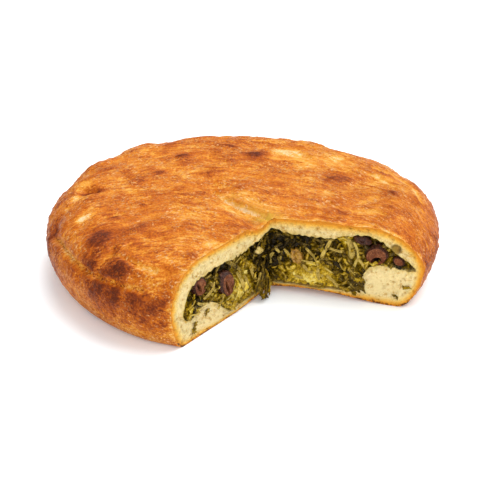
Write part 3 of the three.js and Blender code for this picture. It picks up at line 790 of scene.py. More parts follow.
# Wrinkles, flecks and glints come in patches of these sizes.
WRINKLE_PATCH, FLECK_PATCH, GLINT_PATCH = 22, 15, 17
SIDE_FROM, SIDE_TO = 50, 30  # heights between which the side's deeper brown sets in
FOOT_FROM, FOOT_TO = 24, 6  # heights between which the side pales again towards the base
crust, tree, skin, plain, blotch, speck = shader("baked_crust", BLOTCH_SIZE, SPECK_SIZE, 0.5)
flow = along_flow(tree, plain)
broad = noise(tree, plain, BROAD_SIZE, 2)
streak = noise(tree, stretched(tree, flow, *STREAK_SIZE), 1, 4, 0.58)
wrinkle = around(tree, noise(tree, stretched(tree, flow, *WRINKLE_SIZE), 1, 3, 0.55))
wrinkle = fade(tree, calc(tree, "ABSOLUTE", wrinkle), 0.07, 0.0)
wrinkle = times(tree, wrinkle, fade(tree, noise(tree, plain, WRINKLE_PATCH, 2), 0.42, 0.58))
flecks = put(tree, "ShaderNodeTexVoronoi", {"Vector": plain, "Scale": 1 / FLECK_SIZE})
flecks = fade(tree, flecks.outputs["Distance"], 0.24, 0.10)
flecks = times(tree, flecks, fade(tree, noise(tree, plain, FLECK_PATCH, 2), 0.46, 0.62))
glint = fade(tree, noise(tree, stretched(tree, flow, *GLINT_SIZE), 1, 3, 0.6), 0.54, 0.66)
glint = times(tree, glint, fade(tree, noise(tree, plain, GLINT_PATCH, 2), 0.36, 0.60))
seam = times(tree, value_of(tree, "seam"), fade(tree, speck, -0.22, 0.12))
# Painted shadow: the middle of a seam is darkened as if by the shade down in its crack.
crack_shadow = fade(tree, value_of(tree, "seam"), 0.70, 0.88)
crack_shadow = times(tree, crack_shadow, fade(tree, speck, 0.02, -0.10))
side = fade(tree, height_of(tree, plain), SIDE_FROM, SIDE_TO)
foot = fade(tree, height_of(tree, plain), FOOT_FROM, FOOT_TO)
by_cut = fade(tree, weigh(tree, value_of(tree, "from_cut"), (blotch, 9, 0)), 4.5, 0.5)
bake = weigh(
    tree,
    0.44,
    (broad, 0.5, 0.5),
    (blotch, 0.66, 0),
    (speck, 0.9, 0),
    (streak, 0.6, 0.5),
    (wrinkle, -0.24, 0),
    (flecks, -0.32, 0),
    (value_of(tree, "browning_and_painted_light"), 0.85, 0),
    (value_of(tree, "relief"), 0.09, 0),
    (value_of(tree, "crease"), 0.10, 0),
    (seam, -0.36, 0),
    (crack_shadow, 0.40, 0),
    (side, 0.15, 0),
    (foot, -0.17, 0),
    (by_cut, -0.24, 0),
)
colour = colours(tree, bake, BAKED)
# The glints are painted highlights: pale flecks mixed into the base colour.
pale_glint = times(tree, glint, fade(tree, bake, 0.80, 0.30))
colour = blend(tree, times(tree, pale_glint, 0.7), colour, GLINT)
juicy = times(tree, value_of(tree, "stain"), fade(tree, blotch, -0.22, 0.16))
colour = blend(tree, juicy, colour, JUICE)
dusted = fade(tree, bake, 0.05, -0.20)
colour = blend(tree, dusted, colour, FLOUR)
tree.links.new(colour, skin.inputs["Base Color"])
sheen = weigh(tree, 0.42, (blotch, 0.5, 0), (streak, 0.4, 0.5), (dusted, 0.3, 0))
tree.links.new(sheen, skin.inputs["Roughness"])
set_values(skin, {
    "Specular IOR Level": 0.1,
    "Coat Weight": 0.05,
    "Coat Roughness": 0.24,
    "Subsurface Weight": 0.06,
    "Subsurface Radius": (0.003, 0.0015, 0.0007),
    "Subsurface Scale": 1,
})
wrinkled = weigh(
    tree,
    0,
    (speck, 0.55, 0),
    (streak, 0.7, 0.5),
    (blotch, 0.9, 0),
    (flecks, 0.22, 0),
    (glint, 0.16, 0),
)
bump = put(tree, "ShaderNodeBump", {"Height": wrinkled, "Distance": 2.2 * MM, "Strength": 1.0})
tree.links.new(bump.outputs[0], skin.inputs["Normal"])

# Crumb: cream and full of small pores, orange where it meets the skin, and stained yellow-green
# where the greens' juice soaked in. Its pores and bubbles are darkened with painted shade.
CREAM = (0.85, 0.67, 0.32)
PORE_SHADE_AND_MOTTLE = (0.74, 0.53, 0.25)
STAIN = (0.64, 0.43, 0.075)
SCORCH = (0.10, 0.028, 0.006)
AIR_HOLE_SHADE = (0.22, 0.13, 0.03)
AIR_HOLE = along(RIGHT_CUT, 85.4, 42.7)
AIR_HOLE_SIZE = 3.2
RIND = (
    (0.0, (0.64, 0.22, 0.012)),
    (0.22, (0.78, 0.32, 0.022)),
    (0.42, (0.86, 0.48, 0.075)),
    (0.70, (0.86, 0.61, 0.21)),
    (1.0, CREAM),
)
RIND_DEPTH = 7
CLOUD_SIZE, CRUMB_GRAIN, PORE_SIZE, SOAKED_SIZE, SCORCHED_SIZE = 5, 0.9, 3.0, 7, 1.7
crumb, tree, flesh, plain, clouds, grain = shader("cut_crumb", CLOUD_SIZE, CRUMB_GRAIN, 0.9)
pores = put(tree, "ShaderNodeTexVoronoi", {"Vector": plain, "Scale": 1 / PORE_SIZE})
pore = fade(tree, weigh(tree, pores.outputs["Distance"], (grain, 0.9, 0)), 0.42, 0.10)
pore = times(tree, pore, fade(tree, clouds, -0.16, 0.04))
rind = value_of(tree, "rind")
ragged_rind = weigh(tree, rind, (clouds, 2.2, 0), (grain, 2.0, 0))
colour = colours(tree, calc(tree, "DIVIDE", ragged_rind, RIND_DEPTH), RIND)
# Painted shade: the pores and the sunk bubbles are darkened, together with random mottling.
bubble_shade = fade(tree, value_of(tree, "pit"), 0.7, 2.8)
shaded = calc(tree, "MAXIMUM", times(tree, pore, 0.62), bubble_shade)
shaded = weigh(tree, shaded, (clouds, 2.4, 0), (grain, 3.2, 0))
colour = blend(tree, fade(tree, shaded, 0.0, 0.9), colour, PORE_SHADE_AND_MOTTLE, "MULTIPLY")
# Painted shade: the inside of the air hole is darkened.
from_hole = weigh(tree, distance_to(tree, plain, tuple(AIR_HOLE)), (grain, 1.2, 0))
hole = fade(tree, from_hole, AIR_HOLE_SIZE * 1.5, AIR_HOLE_SIZE * 0.8)
colour = blend(tree, hole, colour, AIR_HOLE_SHADE)
soaked = noise(tree, plain, SOAKED_SIZE, 3)
soaked = weigh(tree, value_of(tree, "from_hollow"), (soaked, 9, 0.5), (grain, 3, 0))
stain = times(tree, fade(tree, soaked, 4.0, -2.0), fade(tree, rind, 0.3, 2.0))
colour = blend(tree, times(tree, stain, 0.75), colour, STAIN)
scorched = times(tree, fade(tree, height_of(tree, plain), 11, 5), fade(tree, rind, 2.2, 0.6))
scorched = times(tree, scorched, fade(tree, noise(tree, plain, SCORCHED_SIZE, 2), 0.44, 0.55))
colour = blend(tree, scorched, colour, SCORCH)
tree.links.new(colour, flesh.inputs["Base Color"])
set_values(flesh, {
    "Roughness": 0.75,
    "Specular IOR Level": 0.2,
    "Subsurface Weight": 0.12,
    "Subsurface Radius": (0.002, 0.0013, 0.0007),
    "Subsurface Scale": 1,
})
rough = weigh(tree, 0, (pore, -0.4, 0), (grain, 1.0, 0), (clouds, 0.8, 0))
bump = put(tree, "ShaderNodeBump", {"Height": rough, "Distance": 1.2 * MM, "Strength": 0.9})
tree.links.new(bump.outputs[0], flesh.inputs["Normal"])

# The skin's blisters and wrinkles, and the open bubbles of the crumb, are put on by a tree: the
# bubbles are points strewn over both cuts, each of which sinks the crumb round it. One big air
# hole lies above the olives of the right cut.
RELIEF_SIZES = {
    "Swelling": 1.1,
    "Wrinkling": 1.35,
    "Blistering": 0.9,
    "Bubbles per m2": 30000.0,
    "Smallest Bubble": 0.5,
    "Largest Bubble": 1.9,
    "Bubble Depth": 0.6,
    "Air Hole Size": AIR_HOLE_SIZE,
}
SWELLING_SIZE, WRINKLING_SIZE, BLISTER_SIZE, BLISTER_PATCH = 30, (19, 4.2), 11, 36
TEAR_SIZES = ((2.2, 3, 3.4), (8, 2, 2.6))  # of the torn crumb: size, detail, depth
BUBBLE_RARITY = 3.2  # above 1, most bubbles are small
BUBBLE_SEED, BUBBLE_SIZE_SEED = 7, 3


def geometry_tree(name, sizes):
    """A new tree with a geometry in and out, an input for each size, and its input node."""
    tree = bpy.data.node_groups.new(name, "GeometryNodeTree")
    tree.interface.new_socket("Geometry", in_out="INPUT", socket_type="NodeSocketGeometry")
    for size_name, value in sizes.items():
        kind = "NodeSocketInt" if isinstance(value, int) else "NodeSocketFloat"
        tree.interface.new_socket(size_name, in_out="INPUT", socket_type=kind)
    tree.interface.new_socket("Geometry", in_out="OUTPUT", socket_type="NodeSocketGeometry")
    return tree, put(tree, "NodeGroupInput")


relief_tree, given = geometry_tree("dough_relief", RELIEF_SIZES)
tree = relief_tree
place = put(tree, "GeometryNodeInputPosition").outputs[0]
plain = millimetres(tree, place)


def attribute_in(tree, name, kind="FLOAT"):
    return put(tree, "GeometryNodeInputNamedAttribute", {0: name}, data_type=kind).outputs[0]


def store_in(tree, geometry, name, value):
    wires = {0: geometry, "Name": name, "Value": value}
    settings = {"data_type": "FLOAT", "domain": "POINT"}
    return put(tree, "GeometryNodeStoreNamedAttribute", wires, **settings).outputs[0]


def move_along(tree, geometry, way, distance):
    """Moves points along their way by a distance in millimetres."""
    offset = scaled(tree, attribute_in(tree, way, "FLOAT_VECTOR"), times(tree, distance, MM))
    return put(tree, "GeometryNodeSetPosition", {0: geometry, "Offset": offset}).outputs[0]


flow = along_flow(tree, plain)
swelling = around(tree, noise(tree, plain, SWELLING_SIZE, 2))
wrinkling = around(tree, noise(tree, stretched(tree, flow, *WRINKLING_SIZE), 1, 3, 0.6))
wires = {"Vector": plain, "Scale": 1 / BLISTER_SIZE}
cells = put(tree, "ShaderNodeTexVoronoi", wires, feature="SMOOTH_F1")
blister = fade(tree, cells.outputs["Distance"], 0.52, 0.1)
blister = times(tree, blister, fade(tree, noise(tree, plain, BLISTER_PATCH, 1), 0.46, 0.62))
height = times(tree, swelling, times(tree, given.outputs["Swelling"], 4))
wrinkles = times(tree, given.outputs["Wrinkling"], 3)
height = calc(tree, "MULTIPLY_ADD", wrinkling, wrinkles, height)
height = calc(tree, "MULTIPLY_ADD", blister, given.outputs["Blistering"], height)
raised = store_in(tree, given.outputs[0], "relief", height)
raised = move_along(tree, raised, "relief_way", height)

wires = {
    0: raised,
    "Selection": attribute_in(tree, "is_cut", "BOOLEAN"),
    "Density": given.outputs["Bubbles per m2"],
    "Seed": BUBBLE_SEED,
}
strewn = put(tree, "GeometryNodeDistributePointsOnFaces", wires).outputs[0]
wires = {2: 0.0, 3: 1.0, "Seed": BUBBLE_SIZE_SEED}
spread = put(tree, "FunctionNodeRandomValue", wires, data_type="FLOAT").outputs[1]
spread = calc(tree, "POWER", spread, BUBBLE_RARITY)
smallest = given.outputs["Smallest Bubble"]
across = minus(tree, given.outputs["Largest Bubble"], smallest)
across = calc(tree, "MULTIPLY_ADD", spread, across, smallest)
bubbles = store_in(tree, strewn, "bubble", across)
nearest = put(tree, "GeometryNodeSampleNearest", {0: bubbles}).outputs[0]
wires = {0: bubbles, 1: place, "Index": nearest}
middle = put(tree, "GeometryNodeSampleIndex", wires, data_type="FLOAT_VECTOR").outputs[0]
wires = {0: bubbles, 1: attribute_in(tree, "bubble"), "Index": nearest}
size = put(tree, "GeometryNodeSampleIndex", wires, data_type="FLOAT").outputs[0]


def hollowed(tree, middle, size):
    """Depth of a round hole, in millimetres, below each place on the crumb."""
    away = calc(tree, "DIVIDE", distance_to(tree, place, middle), MM)
    share = calc(tree, "DIVIDE", away, size)
    open_share = calc(tree, "SUBTRACT", 1, times(tree, share, share), clamp=True)
    return times(tree, calc(tree, "SQRT", open_share), size)


pit = times(tree, hollowed(tree, middle, size), given.outputs["Bubble Depth"])
air_hole = hollowed(tree, tuple(AIR_HOLE * MM), given.outputs["Air Hole Size"])
pit = calc(tree, "MAXIMUM", pit, air_hole)
tears = weigh(
    tree, 0, *((noise(tree, plain, size, detail), deep, 0.5) for size, detail, deep in TEAR_SIZES)
)
inside = fade(tree, attribute_in(tree, "rind"), 0.6, 2.4)
inside = times(tree, inside, attribute_in(tree, "cut"))
pit = times(tree, plus(tree, pit, tears), inside)
sunk = store_in(tree, raised, "pit", pit)
sunk = move_along(tree, sunk, "cut_way", times(tree, pit, -1))
whole = put(tree, "GeometryNodeRealizeInstances", {0: sunk}).outputs[0]
crumbed = put(tree, "GeometryNodeSetMaterial", {0: whole, "Material": crumb}).outputs[0]
on_skin = attribute_in(tree, "is_skin", "BOOLEAN")
wires = {0: crumbed, "Selection": on_skin, "Material": crust}
put(tree, "NodeGroupOutput", {0: put(tree, "GeometryNodeSetMaterial", wires).outputs[0]})


def grow(thing, tree, sizes):
    """Runs a tree on a piece and keeps the result as its plain mesh."""
    modifier = thing.modifiers.new(tree.name, "NODES")
    modifier.node_group = tree
    for item in tree.interface.items_tree:
        if item.in_out == "INPUT" and item.name in sizes:
            modifier[item.identifier] = sizes[item.name]
    shown = thing.evaluated_get(bpy.context.evaluated_depsgraph_get())
    mesh = bpy.data.meshes.new_from_object(shown)
    thing.modifiers.clear()
    thing.data = mesh


grow(dough, relief_tree, RELIEF_SIZES)
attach(dough, "root")
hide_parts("dough")


# ---- Greens ------------------------------------------------------------------------------
# Escarole boiled soft, then fried in oil and packed into the pie: dark frilled leaf, folded and
# wet, with its pale ribs and stalks. It fills the whole hollow. The knife pulled it apart, so at
# the cuts it stands in loose folds over dark gaps, and hangs out a little at the tip's foot.

GREENS_GAP = 1.3
CORE_WIDE = 0.95  # share of the hollow's reach
CORE_COLUMNS = 144
CORE_LEVELS = 60
CORE_TURNS = 14

# How light (+) or dark (-) the greens are, and how deep they sink behind the cut: side,
# distance from the tip, height, spread, lightness, sinking. Where they sink deep, the dark is
# partly painted shade of the gaps behind the loose folds.
PATCHES = (
    ("right", 3, 38, 13, -0.28, 0.5),
    ("right", 4, 20, 10, -0.2, 0.5),
    ("right", 20, 43, 10, -0.33, 4.5),
    ("right", 33, 42, 8, -0.12, 1.0),
    ("right", 47, 40, 6, -0.18, 1.5),
    ("right", 53, 43, 6, 0.43, -0.5),
    ("right", 57, 30, 7, 0.2, -0.5),
    ("right", 63, 39, 5, -0.15, 1.5),
    ("right", 10, 13, 10, 0.25, -2.2),
    ("right", 25, 13, 11, 0.38, -2.6),
    ("right", 40, 14, 11, 0.3, -2.4),
    ("right", 47, 22, 7, -0.15, 0),
    ("right", 56, 16, 6, -0.07, -1.6),
    ("right", 74, 44, 7, -0.12, 2.5),
    ("right", 92, 31, 9, -0.18, 2.0),
    ("left", 4, 40, 12, -0.28, 1.5),
    ("left", 6, 20, 11, -0.3, 1.0),
    ("left", 20, 40, 7, -0.25, 3.0),
    ("left", 27, 28, 9, 0.07, 0),
    ("left", 33, 20, 9, 0.38, -1.2),
    ("left", 40, 9, 12, 0.35, -2.4),
    ("left", 22, 10, 8, 0.28, -1.8),
    ("left", 46, 38, 6, -0.2, 2.5),
    ("left", 58, 40, 6, -0.43, 5.0),
    ("left", 67, 30, 8, 0.07, 0),
    ("left", 60, 22, 6, 0.12, 0),
    ("left", 77, 26, 6, -0.22, 1.0),
    ("left", 86, 23, 5, 0.18, -0.6),
)
MID_LIGHTNESS = 0.41
MID_SINKING = 2.8
CLINGING = 0.35  # share of the sinking that is left where the greens touch the dough
CLINGING_REACH = 4
TOPPING_BED = 7  # how far the greens sink behind a topping
CUTS = {"right": (RIGHT_CUT, -1), "left": (LEFT_CUT, 1)}

# Side, distance from the tip, height, how far the middle stands out, length, width, slope,
# how far the length tips out, where the knife cut it, and the stone's hole: length, width, and
# how far it lies from the middle across and along.
TOPPINGS = {
    "left_outer_olive": ("left", 76.6, 35.3, -3.2, 15, 12.5, 62, 0, 0.3, (8.2, 3.0, -1.2, 0.2)),
    "left_inner_olive": ("left", 49.6, 26.2, -2.8, 21, 14.5, 70, -0.3, 1.6, (11.5, 2.8, -1.4, -1.8)),
    "right_olive": ("right", 72.8, 36.4, -2.6, 16.5, 14.5, 25, 0.2, 1.4, (7.6, 4.6, -3.0, -1.6)),
    "right_upper_olive": ("right", 62.6, 45.9, -2, 13, 6.6, -12, 0, 1.2, None),
    "right_small_olive": ("right", 87.4, 33.6, -2, 9, 6.6, -25, 0, 0.2, None),
    "right_raisin": ("right", 17.9, 28.3, -1.4, 11.5, 8.4, -60, 0, 4, None),
    "left_pine_nut": ("left", 13.3, 35.8, -0.8, 8, 5.4, 20, 0.2, 3, None),
}


def outward_of(side):
    angle, turn = CUTS[side]
    outward = angle + turn * math.pi / 2
    return np.array((math.cos(outward), math.sin(outward), 0))


def cut_point(side, distance, z, out):
    """Points that stand out from a cut."""
    return along(CUTS[side][0], distance, z) + np.multiply.outer(out, outward_of(side))


def patched(side, distance, z, column):
    """Sum of one column of the patches (4 for lightness, 5 for sinking) at places of a cut."""
    value = np.zeros(np.broadcast(distance, z).shape)
    for patch in PATCHES:
        if patch[0] == side:
            away = ((distance - patch[1]) ** 2 + (z - patch[2]) ** 2) / patch[3] ** 2
            value = value + patch[column] * np.exp(-away)
    return value


def near_wall(z, floor, ceiling):
    """Less than 1 close to the dough, where the greens cling to it."""
    return lerp(CLINGING, 1, smooth(np.minimum(z - floor, ceiling - z), 0, CLINGING_REACH))


def from_topping(side, distance, z):
    """How far a place at a cut lies from the nearest topping, where 1 is the topping's edge."""
    nearest = np.full(np.broadcast(distance, z).shape, 9.0)
    for name, topping in TOPPINGS.items():
        if topping[0] == side and name != "left_pine_nut":
            right, up, slope = distance - topping[1], z - topping[2], math.radians(topping[6])
            run = (right * math.cos(slope) + up * math.sin(slope)) / (topping[4] / 2)
            across = (up * math.cos(slope) - right * math.sin(slope)) / (topping[5] / 2)
            nearest = np.minimum(nearest, np.hypot(run, across))
    return nearest


def behind_toppings(side, distance, z):
    """How far the greens sink to make room for what lies in them."""
    return TOPPING_BED * smooth(from_topping(side, distance, z), 1.05, 0.75)


def room(angle, shares, gap):
    """The hollow in one direction, less a gap below and above."""
    distance, floor, ceiling = hollow_at(np.full_like(shares, angle), shares)
    return distance, floor + gap, ceiling - gap


core = {"points": [], "way": [], "lightness": [], "sinking": []}
core_faces = []
shares = np.linspace(0, CORE_WIDE, CORE_COLUMNS + 1)
levels = np.linspace(0, 1, CORE_LEVELS + 1)
core_loops = []
tip_column = None
into_tip = -(outward_of("right") + outward_of("left"))
into_tip /= np.linalg.norm(into_tip)
for turn, angle in enumerate(np.linspace(RIGHT_CUT, LEFT_CUT, CORE_TURNS + 1)):
    distance, floor, ceiling = room(angle, shares, GREENS_GAP)
    side = {0: "right", CORE_TURNS: "left"}.get(turn)
    if side:
        grid = []
        for k, share in enumerate(shares):
            if k == 0 and tip_column:
                grid.append(tip_column)
                continue
            z = lerp(floor[k], ceiling[k], levels)
            way = -into_tip if k == 0 else outward_of(side)
            light = MID_LIGHTNESS + patched(side, distance[k], z, 4)
            sink = MID_SINKING + patched(side, distance[k], z, 5)
            sink = sink * near_wall(z, floor[k], ceiling[k])
            sink += behind_toppings(side, distance[k], z)
            values = {"way": way[None], "lightness": light, "sinking": sink}
            column = add_points(core, along(angle, distance[k], z), **values)
            tip_column = tip_column or column
            grid.append(column)
        for a, b in zip(grid, grid[1:]):
            core_faces += [(a[m], b[m], b[m + 1], a[m + 1]) for m in range(CORE_LEVELS)]
        edge = [column[0] for column in grid] + grid[-1][1:-1] + [column[-1] for column in grid[::-1]]
    else:
        z = lerp(floor[-1], ceiling[-1], levels[1:-1])
        out = along(angle, distance[1:], floor[1:])
        end = along(angle, distance[-1], z)
        back = along(angle, distance[:0:-1], ceiling[:0:-1])
        values = {"way": NO_WAY, "lightness": MID_LIGHTNESS, "sinking": 0.0}
        round_back = add_points(core, np.concatenate((out, end, back)), **values)
        edge = [tip_column[0], *round_back, tip_column[-1]]
    core_loops.append(edge)
for a, b in zip(core_loops, core_loops[1:]):
    core_faces += strip(a, b)


def face_outwards(thing):
    bm = bmesh.new()
    bm.from_mesh(thing.data)
    bmesh.ops.recalc_face_normals(bm, faces=bm.faces)
    if bm.calc_volume(signed=True) < 0:
        bmesh.ops.reverse_faces(bm, faces=bm.faces)
    bm.to_mesh(thing.data)
    bm.free()


greens_core = mesh_of("greens_core", np.concatenate(core["points"]), core_faces)
face_outwards(greens_core)
write_attribute(greens_core, "cut_way", np.concatenate(core["way"]), "FLOAT_VECTOR")
for name in ("lightness", "sinking"):
    write_attribute(greens_core, name, np.concatenate(core[name]))

# Wet leaf: almost black at its darkest, which paints the shade of the deep gaps, then green,
# olive and yellow, to the cream of the ribs.
LEAF = (
    (0.0, (0.014, 0.008, 0.001)),
    (0.20, (0.060, 0.034, 0.001)),
    (0.40, (0.165, 0.094, 0.001)),
    (0.62, (0.40, 0.235, 0.004)),
    (0.82, (0.66, 0.44, 0.030)),
    (1.0, (0.80, 0.64, 0.17)),
)
RIB_CREAM = (0.60, 0.44, 0.12)
LEAF_PATCH = 4.2


def leaf_material(name, fine_size, mottled, gloss):
    material, tree, skin, _, soft, fine = shader(name, LEAF_PATCH, fine_size, 0.6)
    tone = weigh(
        tree,
        value_of(tree, "lightness"),
        (soft, mottled, 0),
        (fine, mottled * 0.8, 0),
        (value_of(tree, "rib"), 0.16, 0),
        # Painted shade: lower parts of the core's folds and their creases are darker.
        (value_of(tree, "relief"), 0.07, 0),
    )
    pale = fade(tree, value_of(tree, "rib"), 0.2, 1)
    pale = times(tree, times(tree, pale, fade(tree, tone, 0.15, 0.75)), 0.75)
    colour = blend(tree, pale, colours(tree, tone, LEAF), RIB_CREAM)
    tree.links.new(colour, skin.inputs["Base Color"])
    tree.links.new(weigh(tree, gloss, (fine, 0.35, 0)), skin.inputs["Roughness"])
    set_values(skin, {
        "Specular IOR Level": 0.08,
        "Coat Weight": 0.07,
        "Coat Roughness": 0.05,
        "Subsurface Weight": 0.12,
        "Subsurface Radius": (0.0015, 0.0015, 0.0004),
        "Subsurface Scale": 1,
    })
    return material


packed_leaf = leaf_material("packed_leaf", 1.0, 1.25, 0.34)
loose_leaf = leaf_material("loose_leaf", 1.1, 0.85, 0.28)

# The core's cut faces: rounded folds with sharp creases between them.
CORE_RELIEF = {"Fold Size": 4.6, "Fold Height": 2.6, "Crease Depth": 2.0, "Grain": 1.1}
WARP_SIZE, WARP_DEPTH = 7, 14
CREASE_SIZE, GRAIN_SIZE = 6, 1.6
core_tree, given = geometry_tree("greens_relief", CORE_RELIEF)
tree = core_tree
plain = millimetres(tree, put(tree, "GeometryNodeInputPosition").outputs[0])
warp = put(tree, "ShaderNodeTexNoise", {"Vector": plain, "Scale": 1 / WARP_SIZE, "Detail": 2})
warp = vectors(tree, "SUBTRACT", warp.outputs["Color"], (0.5, 0.5, 0.5))
warped = vectors(tree, "ADD", plain, scaled(tree, warp, WARP_DEPTH))
wires = {"Vector": warped, "Scale": calc(tree, "DIVIDE", 1, given.outputs["Fold Size"])}
folds = put(tree, "ShaderNodeTexVoronoi", wires, feature="SMOOTH_F1")
rounded = minus(tree, 0.45, folds.outputs["Distance"])
ridges = calc(tree, "ABSOLUTE", around(tree, noise(tree, warped, CREASE_SIZE, 2)))
crease = fade(tree, ridges, 0.07, 0.0)
grain = around(tree, noise(tree, plain, GRAIN_SIZE, 3, 0.6))
height = times(tree, rounded, given.outputs["Fold Height"])
height = minus(tree, height, times(tree, crease, given.outputs["Crease Depth"]))
height = calc(tree, "MULTIPLY_ADD", grain, times(tree, given.outputs["Grain"], 2), height)
stored = store_in(tree, given.outputs[0], "relief", height)
stands = minus(tree, height, attribute_in(tree, "sinking"))
shaped = move_along(tree, stored, "cut_way", stands)
whole = put(tree, "GeometryNodeRealizeInstances", {0: shaped})
finish = put(tree, "GeometryNodeSetMaterial", {0: whole.outputs[0], "Material": packed_leaf})
put(tree, "NodeGroupOutput", {0: finish.outputs[0]})
grow(greens_core, core_tree, CORE_RELIEF)
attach(greens_core, "root")
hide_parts("filling")


# Kinds of loose pieces. A leaf is a crumpled sheet: long, wide, folds across it, height of the
# folds, how far it bends over. Stalks are strips: long, wide, bend.
LEAF_KINDS = (
    (16, 9, 1.6, 1.6, 2.2),
    (13, 8, 2.1, 1.2, 1.4),
    (18, 7, 1.2, 1.6, 3.0),
    (11, 10, 1.8, 1.4, 1.2),
    (14, 6, 2.2, 1.0, 2.4),
    (10, 8, 1.4, 1.6, 1.8),
    (17, 10, 2.4, 1.3, 1.6),
    (9, 7, 1.1, 1.3, 1.4),
)
STALK_KINDS = (
    (14, 1.5, 1.4),
    (11, 1.1, 2.2),
    (17, 2.1, 1.8),
    (9, 0.9, 1.4),
    (13, 2.8, 1.2),
)
STALK_THICKNESS = 0.8
STALK_RIB = 0.9  # how pale a stalk is, where a leaf's rib is 1
LEAF_THICKNESS = 0.4
LEAF_STEPS = (7, 4)  # faces along and across
STALK_STEPS = (6, 2)
RIB_SPREAD = 0.16  # of a leaf's rib, as a share of half its width


def sheets(name, grids):
    """Closed thin solids over grids of points, with the same triangles on both faces of each."""
    points, faces, values = [], [], {"rib": [], "lightness": []}
    for middle, thickness, rib, lightness in grids:
        normal = np.cross(np.gradient(middle, axis=0), np.gradient(middle, axis=1))
        normal /= np.linalg.norm(normal, axis=2, keepdims=True)
        rows, columns = middle.shape[:2]
        count = rows * columns
        first = sum(len(p) for p in points)
        for turn in (1, -1):
            points.append((middle + turn * normal * thickness / 2).reshape(-1, 3))
            values["rib"].append(np.broadcast_to(rib, (rows, columns)).ravel())
            values["lightness"].append(np.full(count, lightness))
        solid = []
        for i in range(rows - 1):
            for j in range(columns - 1):
                a, b = i * columns + j, (i + 1) * columns + j
                c, d = b + 1, a + 1
                solid += [(a, b, c), (a, c, d)]
                solid += [(c + count, b + count, a + count), (d + count, c + count, a + count)]
        rim = [i * columns for i in range(rows)] + [(rows - 1) * columns + j for j in range(1, columns)]
        rim += [i * columns + columns - 1 for i in range(rows - 2, -1, -1)]
        rim += list(range(columns - 2, 0, -1))
        for a, b in zip(rim, rim[1:] + rim[:1]):
            solid += [(b, a, a + count), (b, a + count, b + count)]
        faces += [tuple(first + k for k in face) for face in solid]
    thing = mesh_of(name, np.concatenate(points), faces)
    face_outwards(thing)
    for attribute, value in values.items():
        write_attribute(thing, attribute, np.concatenate(value))
    return thing


def crumpled_leaf(draw, size, steps):
    """The middle of a leaf as a grid of points, and how much of each is rib."""
    long, wide, folds, fold_height, bend = size
    u = np.linspace(0, 1, steps[0] + 1)[:, None]
    v = np.linspace(-1, 1, steps[1] + 1)[None, :]
    phases = draw.uniform(0, 2 * math.pi, 6)
    margin = 0.75 + 0.25 * np.sin(u * 11 + phases[0]) * np.sign(v)
    half = wide / 2 * np.sin(math.pi * np.clip(u * 0.9 + 0.06, 0, 1)) ** 0.5 * margin
    x = (u - 0.5) * long + 0.9 * np.sin(v * 3 + phases[1])
    y = v * half + 0.8 * np.sin(u * 6 + phases[2])
    fold = np.sin(v * math.pi * folds + phases[3] + 1.6 * np.sin(u * 4 + phases[4]))
    frill = np.sin(u * 15 + phases[5] + v) * v**2
    z = fold_height * fold * (0.45 + 0.55 * np.abs(v)) + 0.7 * frill
    z = z + bend * np.cos(math.pi * (u - 0.5))
    middle = np.stack(np.broadcast_arrays(x, y, z), axis=2)
    rib = np.exp(-((v / RIB_SPREAD) ** 2)) * np.clip(1.3 - u, 0, 1)
    return middle, rib


def stalk(draw, size):
    """The middle of a cupped strip as a grid of points."""
    long, wide, bend = size
    u = np.linspace(0, 1, STALK_STEPS[0] + 1)[:, None]
    v = np.linspace(-1, 1, STALK_STEPS[1] + 1)[None, :]
    phases = draw.uniform(0, 2 * math.pi, 3)
    half = wide / 2 * (0.75 + 0.25 * np.sin(u * 3 + phases[0]))
    x = (u - 0.5) * long
    y = v * half + 0.6 * np.sin(u * 4 + phases[1])
    z = bend * np.sin(u * math.pi) + 0.35 * wide * v**2 + 0.3 * np.sin(u * 7 + phases[2])
    return np.stack(np.broadcast_arrays(x, y, z), axis=2)


draw = np.random.default_rng(29)
kinds = bpy.data.collections.new("greens_kinds")
pieces = []
for size in LEAF_KINDS:
    middle, rib = crumpled_leaf(draw, size, LEAF_STEPS)
    pieces.append(sheets(f"kind_{len(pieces):02d}_leaf", [(middle, LEAF_THICKNESS, rib, 0)]))
for size in STALK_KINDS:
    grid = (stalk(draw, size), STALK_THICKNESS, STALK_RIB, 0)
    pieces.append(sheets(f"kind_{len(pieces):02d}_stalk", [grid]))
first_stalk = len(LEAF_KINDS)
for piece in pieces:
    # A strewn piece takes its lightness from where it lies.
    piece.data.attributes.remove(piece.data.attributes["lightness"])
    kinds.objects.link(piece)
    bpy.context.collection.objects.unlink(piece)

# Fields that the loose pieces are strewn over: the filling's part of each cut, less a margin.
FIELD_COLUMNS = 60
FIELD_LEVELS = 20
FIELD_MARGIN = 1.5
FIELD_FROM, FIELD_TO = 0.015, 0.93  # shares of the hollow's reach
FIELD_DEPTH = 2.6  # how far the field stands out from the sunk core
LEAST_COVER = 0.2


